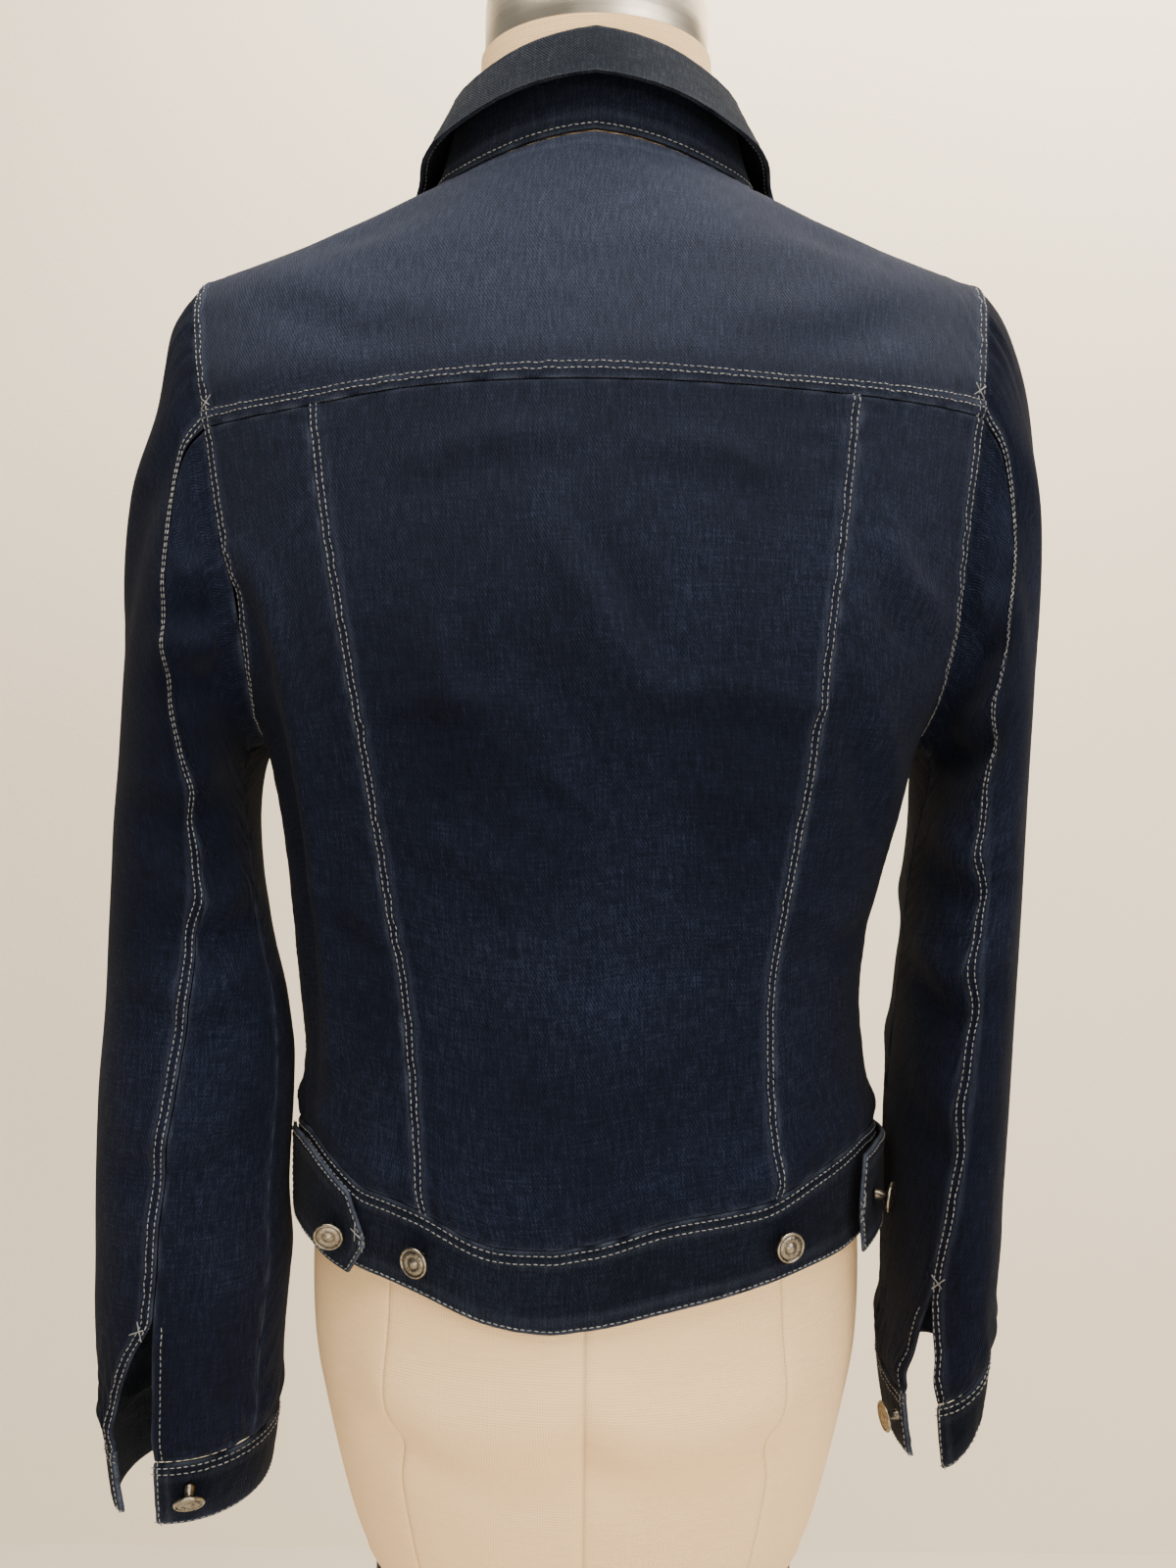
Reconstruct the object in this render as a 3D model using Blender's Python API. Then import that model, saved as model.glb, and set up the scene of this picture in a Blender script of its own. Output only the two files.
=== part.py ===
"""Women's denim jacket on a limbless dress form with a wire cage, pole and round base.

Metres, +Z up. The jacket's front faces -Y, the wearer's left is +X, and the base stands on z = 0
with the pole's axis on the Z axis. Tables are in centimetres and their heights are above the floor.
Around the body, u runs from 0 at the centre back over 1 at the side seam to 2 at the centre front,
plus on the wearer's left and minus on the right.
"""

import math

import bpy
import numpy as np

CM = 0.01

# Driving sizes.
GAP = 0.0003  # between two pieces at a seam
DENIM = 0.0014  # one layer of stretch denim with its seam allowances
FOLDED = 0.0024  # waistband, cuffs, tabs and collar: two layers with interlining
BAND_PROUD = 0.0008  # a folded piece stands this far out from the panel it is sewn to
SHOULDER_HEIGHT = 1.296  # outer end of the shoulder seam
NECK_HEIGHT = 1.341  # inner end of the shoulder seam
UNDERARM_HEIGHT = 1.053
FRONT_NECK_HEIGHT = 1.280
FRONT_EDGE = 1.985  # u of the front edges under the placket
WIDEST_HEIGHT = 1.255  # above it the shoulders narrow
FRONT_SPREAD = 2.2  # how the fronts' columns crowd toward the side seam
PLACKET_WIDTH = 0.036
PLACKET_CLEAR = 0.0009  # the placket's underside above the waistband's face
PLACKET_BELOW_NECK = 0.003
BUTTON_RADIUS = 0.0072
SHANK_LENGTH = 0.0075
FRONT_BUTTONS = 5
BUTTON_CLEAR = 0.0014  # under a front button's foot, where the placket curves
FRONT_BUTTON_BELOW_NECK = 0.020
FRONT_BUTTON_ABOVE_HEM = 0.019

# How many faces run along each stretch. Two pieces that meet share the same points.
YOKE_ROWS = 6
ARMHOLE_BACK_ROWS = 6
ARMHOLE_FRONT_ROWS = 9
SIDE_ROWS = 8
SIDE_BACK_COLUMNS = 4
SHOULDER_COLUMNS = 6
NECK_BACK_COLUMNS = 8
NECK_FRONT_COLUMNS = 9
CENTRE_COLUMNS = NECK_BACK_COLUMNS + 2 * (SHOULDER_COLUMNS - SIDE_BACK_COLUMNS)
COLLAR_STAND_ROWS = 3
COLLAR_FOLD_ROWS = 4
COLLAR_FALL_ROWS = 3
CUFF_ROWS = 2
TAB_COLUMNS_ALONG = 6
BUTTON_SIDES = 12

# Horizontal sections of the jacket's outside. The roundness columns p and q shape each half as
# depth = middle depth * (1 - (x / half width) ** p) ** q. The left side is less drawn in.
TORSO_COLUMNS = ("height", "left", "right", "back", "front", "back_p", "back_q", "front_p", "front_q")
TORSO = (
    (77.0, 14.85, 14.85, 10.80, 9.70, 2.30, 0.46, 2.30, 0.46),
    (80.0, 14.95, 14.95, 10.80, 9.70, 2.30, 0.46, 2.30, 0.46),
    (83.0, 15.10, 15.10, 10.70, 9.60, 2.30, 0.46, 2.30, 0.46),
    (86.0, 15.10, 15.05, 10.35, 9.45, 2.30, 0.46, 2.30, 0.46),
    (88.5, 15.05, 14.65, 10.05, 9.40, 2.30, 0.46, 2.30, 0.46),
    (92.0, 15.35, 14.35, 9.85, 9.70, 2.30, 0.46, 2.30, 0.46),
    (96.0, 15.75, 14.80, 10.00, 10.70, 2.35, 0.45, 2.30, 0.46),
    (100.0, 16.20, 15.85, 10.30, 11.90, 2.40, 0.44, 2.30, 0.46),
    (103.0, 16.70, 16.60, 10.55, 12.60, 2.40, 0.43, 2.30, 0.46),
    (105.3, 17.25, 17.25, 10.75, 12.80, 2.40, 0.43, 2.30, 0.46),
    (107.0, 18.05, 18.05, 10.85, 12.80, 2.40, 0.43, 2.30, 0.46),
    (109.5, 19.20, 19.20, 10.95, 12.60, 2.40, 0.43, 2.30, 0.46),
    (112.5, 20.30, 20.30, 11.00, 12.20, 2.40, 0.44, 2.30, 0.48),
    (116.0, 21.30, 21.30, 10.90, 11.40, 2.40, 0.45, 2.30, 0.50),
    (121.0, 22.50, 22.50, 10.50, 10.00, 2.35, 0.48, 2.20, 0.54),
    (125.0, 23.20, 23.20, 9.80, 8.90, 2.25, 0.54, 2.20, 0.58),
    (127.2, 23.10, 23.10, 9.25, 8.35, 2.15, 0.60, 2.15, 0.62),
    (128.5, 22.30, 22.30, 8.95, 8.05, 2.10, 0.74, 2.10, 0.66),
    (129.6, 20.40, 20.40, 8.60, 7.80, 2.10, 0.92, 2.10, 0.70),
    (131.0, 16.40, 16.40, 8.15, 7.50, 2.10, 0.98, 2.10, 0.70),
    (132.5, 12.40, 12.40, 7.65, 7.10, 2.10, 0.92, 2.10, 0.64),
    (134.0, 8.40, 8.40, 7.10, 6.70, 2.10, 0.76, 2.10, 0.54),
    (135.0, 6.20, 6.20, 6.60, 6.40, 2.10, 0.70, 2.10, 0.50),
)
# How far out from the middle the armhole seam runs.
ARMHOLE_COLUMNS = ("height", "left_back", "right_back", "left_front", "right_front")
ARMHOLE = (
    (105.3, 17.25, 17.25, 17.25, 17.25),
    (106.5, 17.10, 17.55, 16.60, 16.60),
    (109.0, 17.15, 17.95, 16.00, 16.00),
    (112.5, 17.50, 18.15, 15.90, 15.90),
    (116.0, 18.25, 18.40, 16.20, 16.20),
    (120.5, 19.00, 18.95, 17.00, 17.00),
    (124.5, 19.75, 19.35, 18.20, 18.20),
    (127.5, 20.15, 19.75, 19.40, 19.40),
    (129.6, 20.40, 20.40, 20.40, 20.40),
)
# The seam from the yoke to the waistband.
PRINCESS_COLUMNS = ("height", "left", "right")
PRINCESS = (
    (83.0, 7.70, 9.30),
    (86.0, 8.10, 9.00),
    (90.0, 8.50, 8.80),
    (93.8, 8.90, 8.85),
    (96.8, 9.50, 9.30),
    (101.5, 10.25, 10.10),
    (106.0, 11.00, 10.80),
    (110.6, 11.80, 11.30),
    (115.0, 12.55, 11.80),
    (121.5, 13.40, 12.45),
)
PRINCESS_STEPS = 4  # to find where the seam meets the band's sloping edge

# Heights of the seams that run across, by distance from the middle or by u.
YOKE_SEAM_COLUMNS = ("across", "height")
YOKE_SEAM = ((-19.5, 121.0), (-12.4, 121.05), (0.0, 121.3), (8.2, 121.0), (14.0, 120.35), (19.5, 120.1))
BAND_COLUMNS = ("u", "top", "hem")
BAND = (
    (-2.00, 83.6, 79.8),
    (-1.50, 84.2, 80.2),
    (-1.00, 85.4, 80.9),
    (-0.72, 85.8, 81.0),
    (-0.58, 85.3, 80.7),
    (-0.467, 84.7, 80.5),
    (-0.34, 83.8, 80.1),
    (-0.256, 83.6, 79.8),
    (-0.115, 83.2, 79.2),
    (0.00, 82.3, 78.5),
    (0.05, 82.05, 78.3),
    (0.158, 82.15, 78.6),
    (0.298, 83.35, 79.6),
    (0.382, 83.75, 80.0),
    (0.467, 84.0, 80.2),
    (0.56, 84.8, 80.4),
    (0.72, 85.8, 80.9),
    (1.00, 85.4, 80.9),
    (1.50, 84.2, 80.2),
    (2.00, 83.6, 79.8),
)
# The neckline and the collar that stands on it: the rise to the fold, how far the fold leans in,
# and how far down and out from the fold the free edge hangs.
COLLAR_COLUMNS = ("u", "neckline", "rise", "lean", "drop", "flare")
COLLAR = (
    (0.00, 134.4, 4.70, 0.10, 2.45, 0.45),
    (0.30, 133.9, 4.65, 0.35, 2.55, 0.75),
    (0.50, 133.5, 4.50, 0.80, 2.70, 1.10),
    (1.00, 134.1, 3.50, 1.70, 2.95, 2.60),
    (1.25, 133.3, 3.20, 1.60, 2.60, 3.20),
    (1.50, 131.7, 3.00, 1.20, 3.50, 3.10),
    (1.75, 129.6, 2.80, 0.80, 4.20, 3.10),
    (2.00, 128.0, 2.60, 0.40, 4.80, 3.00),
)
COLLAR_FOLD = 0.0026  # radius of the collar's fold, at the middle of the cloth

# Sleeve rings from the armhole to the cuff: the outer and inner points of each ring, its back and
# front, its squareness, how much of the armhole's own shape it keeps, the angles of the back seam
# and the under seam from the outer point, and how far each edge of the cuff slit has swung open.
SLEEVE_COLUMNS = (
    "outer_x", "outer_z", "inner_x", "inner_z", "back", "front", "square", "armhole",
    "back_seam", "under_seam", "slit_outer", "slit_under",
)
LEFT_SLEEVE = (
    (20.40, 129.60, 17.25, 105.30, 6.30, -6.60, 2.0, 1.00, 76, 180, 0, 0),
    (21.50, 127.70, 18.00, 104.95, 6.75, -7.00, 2.0, 0.85, 79, 179, 0, 0),
    (22.10, 123.90, 18.30, 104.40, 7.10, -7.10, 2.0, 0.60, 84, 178, 0, 0),
    (23.10, 119.40, 18.40, 103.40, 7.20, -6.90, 2.0, 0.36, 96, 177, 0, 0),
    (23.75, 114.60, 18.30, 102.20, 7.00, -6.30, 2.0, 0.18, 107, 176, 0, 0),
    (24.05, 109.60, 18.00, 100.80, 6.80, -5.30, 2.0, 0.06, 118, 175, 0, 0),
    (24.20, 104.80, 17.60, 98.80, 6.70, -4.20, 2.1, 0.00, 122, 173, 0, 0),
    (24.40, 100.30, 17.10, 96.50, 6.80, -3.20, 2.1, 0.00, 120, 170, 0, 0),
    (24.40, 96.20, 16.45, 94.60, 7.10, -2.40, 2.1, 0.00, 112, 166, 0, 0),
    (24.40, 91.90, 15.50, 91.40, 7.70, -1.80, 2.0, 0.00, 102, 162, 0, 0),
    (24.50, 87.40, 15.05, 87.20, 8.30, -1.20, 2.0, 0.00, 94, 158, 0, 0),
    (24.50, 82.50, 15.20, 82.50, 8.50, -1.00, 2.0, 0.00, 89, 155, 0, 0),
    (24.50, 79.40, 15.05, 79.40, 8.30, -1.10, 2.1, 0.00, 86, 153, 0, 0),
    (24.50, 77.80, 15.15, 77.80, 8.30, -1.00, 2.1, 0.00, 85, 152, 0, 0),
    (24.40, 75.50, 15.35, 75.50, 8.30, -0.90, 2.1, 0.00, 85, 151, 14, 0),
    (24.15, 73.00, 15.50, 73.10, 8.20, -0.80, 2.1, 0.00, 84, 150, 27, 0),
    (23.80, 70.80, 15.75, 71.00, 8.10, -0.70, 2.1, 0.00, 83, 149, 34, 1),
)
RIGHT_SLEEVE = (
    (20.40, 129.60, 17.25, 105.30, 6.30, -6.60, 2.0, 1.00, 76, 180, 0, 0),
    (21.50, 127.70, 18.00, 104.95, 6.70, -7.00, 2.0, 0.85, 78, 180, 0, 0),
    (22.40, 124.20, 18.30, 104.40, 6.95, -7.10, 2.0, 0.60, 88, 180, 0, 0),
    (22.70, 119.40, 18.30, 103.50, 7.10, -7.00, 2.0, 0.36, 107, 181, 0, 0),
    (22.65, 114.60, 18.15, 102.40, 7.30, -6.70, 2.0, 0.18, 116, 183, 0, 0),
    (22.50, 109.60, 17.80, 101.20, 7.50, -6.20, 2.1, 0.06, 119, 185, 0, 0),
    (22.20, 105.00, 17.40, 99.60, 7.70, -5.60, 2.1, 0.00, 117, 187, 0, 0),
    (21.90, 101.00, 17.05, 97.60, 8.00, -5.00, 2.1, 0.00, 115, 189, 0, 0),
    (21.60, 97.00, 16.75, 95.20, 8.30, -4.50, 2.1, 0.00, 115, 191, 0, 0),
    (21.20, 92.40, 16.30, 91.80, 8.70, -3.90, 2.1, 0.00, 114, 193, 0, 0),
    (20.85, 87.60, 15.80, 87.60, 9.00, -3.40, 2.1, 0.00, 115, 195, 0, 0),
    (20.50, 83.40, 15.60, 83.40, 9.20, -3.10, 2.1, 0.00, 120, 197, 0, 0),
    (20.40, 81.60, 15.55, 81.00, 9.30, -2.90, 2.1, 0.00, 127, 198, 0, 0),
    (20.30, 80.50, 15.50, 79.20, 9.30, -2.80, 2.1, 0.00, 130, 199, 0, 0),
    (20.15, 79.30, 15.50, 77.10, 9.30, -2.70, 2.1, 0.00, 131, 200, 2, 10),
    (20.00, 78.10, 15.45, 75.00, 9.20, -2.60, 2.1, 0.00, 129, 200, 6, 20),
    (19.80, 76.90, 15.40, 73.20, 9.10, -2.50, 2.1, 0.00, 127, 200, 8, 27),
)
SIDES = (("left", 1, LEFT_SLEEVE), ("right", -1, RIGHT_SLEEVE))
CUFF_HEIGHT = 0.031
CUFF_TURN_IN = 0.004  # of its hem

# Waistband tabs by u: where the tab's point, shoulders and sewn end lie, and how far the end lifts
# in metres.
TABS = {"left": (0.430, 0.487, 0.90, 0.0022), "right": (-0.585, -0.625, -1.14, 0.0065)}
TAB_TOP_BELOW_BAND = 0.0035
TAB_BELOW_HEM = 0.0025
TAB_CLEAR = 0.0008  # under the tab
TAB_THICKNESS = 0.0020
TAB_POINT_WIDTH = 0.004

# Buttons on the waistband and its tabs: u, height and clearance of the foot in metres, and the
# droop as sideways and downward shares of the outward direction.
BAND_BUTTONS = (
    ("button_tab_left", 0.535, 0.8200, TAB_CLEAR + TAB_THICKNESS + 0.0016, -0.80, -0.40),
    ("button_spare_left", 0.292, 0.8145, 0.0, 0.12, -0.10),
    ("button_tab_right", -0.665, 0.8320, TAB_CLEAR + TAB_THICKNESS + 0.0050, -0.20, -0.12),
    ("button_spare_right", -0.372, 0.8205, 0.0, 0.06, -0.10),
)
CUFF_BUTTONS = {"left": (106.0, -0.85), "right": (158.0, -0.1)}  # the angle on the ring, and the droop
CUFF_BUTTON_DOWN = 0.0115  # from the cuff's seam
FRONT_BUTTON_DROOP = -0.2
# A button's outline: radius as a share of its whole radius, and height in metres from its foot.
BUTTON_PROFILE = (
    (0.34, 0.0),
    (0.34, SHANK_LENGTH - 0.0016),
    (0.86, SHANK_LENGTH - 0.0010),
    (1.00, SHANK_LENGTH),
    (0.96, SHANK_LENGTH + 0.0009),
    (0.55, SHANK_LENGTH + 0.0014),
)

# Horizontal sections of the dress form.
FORM_COLUMNS = ("height", "half_width", "back", "front")
FORM = (
    (63.2, 10.95, 8.00, 7.20),
    (63.45, 11.30, 8.40, 7.60),
    (64.4, 11.70, 8.90, 8.10),
    (65.8, 12.20, 9.35, 8.60),
    (68.0, 12.80, 9.85, 9.00),
    (71.5, 13.60, 10.45, 9.30),
    (74.5, 14.15, 10.90, 9.35),
    (78.5, 14.35, 10.40, 9.20),
    (82.0, 14.20, 10.10, 9.00),
    (86.0, 13.90, 9.60, 8.80),
    (90.0, 13.10, 9.05, 8.70),
    (94.0, 13.20, 9.10, 9.30),
    (98.0, 14.00, 9.50, 10.50),
    (102.0, 14.90, 9.90, 11.60),
    (106.0, 15.50, 10.15, 12.00),
    (110.0, 15.90, 10.25, 11.80),
    (114.0, 16.50, 10.25, 11.10),
    (119.0, 17.30, 9.95, 9.60),
    (123.5, 18.00, 9.00, 8.20),
    (126.5, 18.30, 7.90, 7.20),
    (128.0, 17.80, 7.00, 6.60),
    (129.0, 16.70, 6.50, 6.30),
    (130.3, 14.20, 6.15, 6.00),
    (131.8, 10.80, 5.95, 5.70),
    (133.0, 8.20, 5.90, 5.40),
    (133.8, 7.00, 5.90, 5.20),
)
FORM_SIDES = 32
NECK_CENTRE = 0.013
NECK_TOP = 1.408
NECK_SIZES = (0.0605, 0.0450)  # half width and half depth
CAP_SIZES = (0.0585, 0.0435)
CAP_TOP = 1.442
CAP_ROWS = ((0.0, 1.0), (0.80, 1.0), (0.93, 0.965), (1.0, 0.88))  # share of its height, and of its size
CAGE_COLUMNS = ("height", "half_width", "half_depth")
CAGE_HOOPS = ((60.3, 10.6, 6.9), (52.9, 10.8, 7.1), (45.5, 11.0, 7.3))
CAGE_WIRES = 8
CAGE_WIRE_TOP = 0.6315
WIRE_RADIUS = 0.0014
WIRE_CLEAR = 0.0007  # between a wire and the hoops inside it
POLE_RADIUS = 0.0125
BASE_RADIUS = 0.19
BASE_HEIGHT = 0.030
HUB_RADIUS = 0.036
HUB_TOP = 0.105


def smooth(keys, values, at):
    """The value at each key, on a cubic through the table's rows that adds no bumps of its own."""
    keys, values = np.asarray(keys, float), np.asarray(values, float)
    at = np.asarray(at, float)
    step = np.diff(keys)
    slope = np.diff(values) / step
    tangent = np.concatenate([slope[:1], (slope[:-1] + slope[1:]) / 2, slope[-1:]])
    tangent[1:-1][slope[:-1] * slope[1:] <= 0] = 0
    index = np.clip(np.searchsorted(keys, at, side="right") - 1, 0, len(step) - 1)
    h = step[index]
    t = np.clip((at - keys[index]) / h, 0, 1)
    before, after = values[index], values[index + 1]
    return (
        before * (1 + 2 * t) * (1 - t) ** 2
        + after * t * t * (3 - 2 * t)
        + tangent[index] * h * t * (1 - t) ** 2
        - tangent[index + 1] * h * t * t * (1 - t)
    )


def column(table, names, name, at, scale=CM, key_scale=CM):
    """One column of a table, read at these values of its first column."""
    rows = np.array(table, float)
    return smooth(rows[:, 0] * key_scale, rows[:, names.index(name)] * scale, at)


def torso(name, z, scale=CM):
    return column(TORSO, TORSO_COLUMNS, name, z, scale)


def half_width(side, z):
    """How far out the side seam lies, on the left for a positive side and the right for a negative."""
    return np.where(np.asarray(side) > 0, torso("left", z), torso("right", z))


def body(u, z):
    """The point of the jacket's outside at u and height z."""
    u, z = np.broadcast_arrays(np.asarray(u, float), np.asarray(z, float))
    front = np.abs(u) > 1
    sine = np.abs(np.sin(u * math.pi / 2))
    cosine = np.abs(np.cos(u * math.pi / 2))
    p = np.where(front, torso("front_p", z, 1), torso("back_p", z, 1))
    q = np.where(front, torso("front_q", z, 1), torso("back_q", z, 1))
    depth = np.where(front, -torso("front", z), torso("back", z))
    x = np.sign(u) * half_width(u, z) * sine ** (2 / p)
    return np.stack([x, depth * cosine ** (2 * q), z], -1)


def unit(vectors):
    return vectors / np.linalg.norm(vectors, axis=-1, keepdims=True)


def body_normal(u, z, du=0.004, dz=0.001):
    along = body(u + du, z) - body(u - du, z)
    up = body(u, z + dz) - body(u, z - dz)
    return unit(np.cross(up, along))


def u_at(x, z, front=False):
    """The u at which the section at height z has this x."""
    p = torso("front_p" if front else "back_p", z, 1)
    share = np.clip(np.abs(x) / half_width(x, z), 0, 1) ** (p / 2)
    u = np.arcsin(share) * 2 / math.pi
    return np.sign(x) * (2 - u if front else u)


def armhole(side, sign, turn):
    """u and height on the armhole seam. turn is 0 at the shoulder, pi at the underarm after the
    back, and runs on to 2 pi up the front."""
    turn = np.asarray(turn, float)
    middle = (SHOULDER_HEIGHT + UNDERARM_HEIGHT) / 2
    z = middle + (SHOULDER_HEIGHT - UNDERARM_HEIGHT) / 2 * np.cos(turn)
    back = u_at(sign * column(ARMHOLE, ARMHOLE_COLUMNS, side + "_back", z), z)
    front = u_at(sign * column(ARMHOLE, ARMHOLE_COLUMNS, side + "_front", z), z, front=True)
    u = np.where(turn <= math.pi, back, front)
    ends = np.isclose(np.cos(turn) ** 2, 1)
    return np.stack([np.where(ends, sign, u), z], -1)


def front_turns():
    """Steps up the front of the armhole, closer together at the underarm where it curves most."""
    return math.pi + math.pi * np.linspace(0, 1, ARMHOLE_FRONT_ROWS + 1) ** 1.25


def yoke_corner(side, sign):
    """How far round the armhole the yoke's seam meets it."""
    turns = np.linspace(0, math.pi, 721)
    points = armhole(side, sign, turns)
    x = body(points[:, 0], points[:, 1])[:, 0]
    seam = column(YOKE_SEAM, YOKE_SEAM_COLUMNS, "height", x)
    return turns[np.argmin(np.abs(points[:, 1] - seam))]


def yoke_seam(x):
    z = column(YOKE_SEAM, YOKE_SEAM_COLUMNS, "height", x)
    return np.stack([u_at(x, z), z], -1)


def band_height(u, name):
    return column(BAND, BAND_COLUMNS, name, u, key_scale=1)


def princess(side, sign):
    """The long back seam from the yoke to the band, in as many steps as the side back's outer edge."""
    across = PRINCESS_COLUMNS.index(side)
    top = yoke_seam(sign * PRINCESS[-1][across] * CM)[1]
    bottom = PRINCESS[0][0] * CM
    for _ in range(PRINCESS_STEPS):
        foot = u_at(sign * column(PRINCESS, PRINCESS_COLUMNS, side, bottom), bottom)
        bottom = float(band_height(foot, "top"))
    upper = np.linspace(top, UNDERARM_HEIGHT + 0.01, ARMHOLE_BACK_ROWS + 1)[:-1]
    z = np.concatenate([upper, np.linspace(UNDERARM_HEIGHT + 0.01, bottom, SIDE_ROWS + 1)])
    return np.stack([u_at(sign * column(PRINCESS, PRINCESS_COLUMNS, side, z), z), z], -1)


def side_seam(sign):
    z = np.linspace(UNDERARM_HEIGHT, float(band_height(sign, "top")), SIDE_ROWS + 1)
    return np.stack([np.full(len(z), float(sign)), z], -1)


def band_top(start, end, columns):
    u = np.linspace(start, end, columns + 1)
    return np.stack([u, band_height(u, "top")], -1)


def shoulder_seam(sign):
    """From the outer end of the shoulder to the neck, on the ridge."""
    z = np.linspace(SHOULDER_HEIGHT, NECK_HEIGHT, SHOULDER_COLUMNS + 1)
    return np.stack([np.full(len(z), float(sign)), z], -1)


def front_edge_heights():
    """Heights of the fronts' rows at the placket: beside the shoulder, the armhole and the side."""
    neck = float(neckline(FRONT_EDGE)[1])
    beside_shoulder = (neck - UNDERARM_HEIGHT) * SHOULDER_COLUMNS / (SHOULDER_COLUMNS + ARMHOLE_FRONT_ROWS)
    return join(
        np.linspace(neck, neck - beside_shoulder, SHOULDER_COLUMNS + 1),
        np.linspace(neck - beside_shoulder, UNDERARM_HEIGHT, ARMHOLE_FRONT_ROWS + 1),
        np.linspace(UNDERARM_HEIGHT, float(band_height(FRONT_EDGE, "top")), SIDE_ROWS + 1),
    )


def neckline(u):
    return np.stack([u, column(COLLAR, COLLAR_COLUMNS, "neckline", np.abs(u), key_scale=1)], -1)


def patch(top, bottom, first, last):
    """A grid of u and height between four edges. Rows run from top to bottom, columns from first
    to last."""
    s = np.linspace(0, 1, len(top))[None, :, None]
    t = np.linspace(0, 1, len(first))[:, None, None]
    between = (1 - t) * top[None] + t * bottom[None] + (1 - s) * first[:, None] + s * last[:, None]
    upper = (1 - s) * top[0] + s * top[-1]
    lower = (1 - s) * bottom[0] + s * bottom[-1]
    return between - (1 - t) * upper - t * lower


def front_patch(sign, *edges):
    """A patch of the front, worked out on x as a share of the widest section so far, which keeps
    its rows inside the shoulder's end."""
    def widest(z):
        return half_width(sign, np.minimum(z, WIDEST_HEIGHT))

    def spread(edge):
        x = np.abs(body(edge[:, 0], edge[:, 1])[:, 0])
        share = np.clip(x / widest(edge[:, 1]), 0, 1) ** (FRONT_SPREAD / 2)
        return np.stack([np.arcsin(share), edge[:, 1]], -1)

    grid = patch(*(spread(edge) for edge in edges))
    z = grid[..., 1]
    x = sign * widest(z) * np.sin(grid[..., 0]) ** (2 / FRONT_SPREAD)
    return np.stack([u_at(x, z, front=True), z], -1)


def join(*stretches):
    """Edges joined end to end, each shared point once."""
    return np.concatenate([stretches[0]] + [stretch[1:] for stretch in stretches[1:]])


def draw_back(points, amount, edges="nesw"):
    """Moves a grid's edges in, square to themselves, which leaves the gap at a seam."""
    points = points.copy()
    for name, axis, edge, inner in (("n", 0, 0, 1), ("s", 0, -1, -2), ("w", 1, 0, 1), ("e", 1, -1, -2)):
        if name in edges:
            lines = np.moveaxis(points, axis, 0)
            along = unit(np.gradient(lines[edge], axis=0))
            inward = lines[inner] - lines[edge]
            inward -= along * (inward * along).sum(-1, keepdims=True)
            lines[edge] += unit(inward) * amount
    return points


def material(name, colour, roughness, metallic=0.0):
    made = bpy.data.materials.new(name)
    made.use_nodes = True
    shader = made.node_tree.nodes["Principled BSDF"]
    shader.inputs["Base Color"].default_value = (*colour, 1)
    shader.inputs["Roughness"].default_value = roughness
    shader.inputs["Metallic"].default_value = metallic
    made.diffuse_color = (*colour, 1)
    return made


def add_object(name, points, faces, look):
    """A mesh object whose faces look outwards, whichever way round they were listed."""
    mesh = bpy.data.meshes.new(name)
    corners = np.array([[face[0], face[i], face[i + 1]] for face in faces for i in range(1, len(face) - 1)])
    if np.linalg.det(points[corners]).sum() < 0:
        faces = [face[::-1] for face in faces]
    mesh.from_pydata(points.tolist(), [], faces)
    mesh.materials.append(look)
    mesh.shade_smooth()
    mesh.set_sharp_from_angle(angle=math.radians(40))
    made = bpy.data.objects.new(name, mesh)
    bpy.context.scene.collection.objects.link(made)
    return made


def split(points, a, b, c, d):
    """The two triangles of a face with four corners, along its shorter diagonal."""
    if np.linalg.norm(points[a] - points[c]) < np.linalg.norm(points[b] - points[d]):
        return [[a, b, c], [a, c, d]]
    return [[a, b, d], [b, c, d]]


def wall(name, outer, inner, look):
    """A cloth piece: two grids of points with faces all round their edges."""
    rows, columns = outer.shape[:2]
    count = rows * columns
    points = np.concatenate([outer.reshape(-1, 3), inner.reshape(-1, 3)])
    index = np.arange(count).reshape(rows, columns)
    corners = np.stack([index[:-1, :-1], index[:-1, 1:], index[1:, 1:], index[1:, :-1]], -1).reshape(-1, 4)
    outside = [triangle for quad in corners.tolist() for triangle in split(points, *quad)]
    inside = [[n + count for n in triangle[::-1]] for triangle in outside]
    rim = np.concatenate([index[0], index[1:, -1], index[-1, -2::-1], index[-2:0:-1, 0]]).tolist()
    edge = [
        triangle
        for a, b in zip(rim, rim[1:] + rim[:1])
        for triangle in split(points, a, a + count, b + count, b)
    ]
    return add_object(name, points, outside + inside + edge, look)


def body_wall(name, grid, look, outside=0.0, thickness=DENIM, edges="nesw"):
    """A piece that lies on the body, from its grid of u and height."""
    points, normal = body(grid[..., 0], grid[..., 1]), body_normal(grid[..., 0], grid[..., 1])
    outer = points + normal * outside
    inner = points + normal * (outside - thickness)
    return wall(name, draw_back(outer, GAP / 2, edges), draw_back(inner, GAP / 2, edges), look)


def loft(name, rings, look):
    """A closed solid through rings of equally many points, each end closed by a flat face."""
    rings = [np.asarray(ring, float) for ring in rings]
    count = len(rings[0])
    faces = [list(range(count)), [i + count * (len(rings) - 1) for i in range(count)][::-1]]
    for k in range(len(rings) - 1):
        for i in range(count):
            a, b = k * count + i, k * count + (i + 1) % count
            faces.append([a, a + count, b + count, b])
    return add_object(name, np.concatenate(rings), faces, look)


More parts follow.
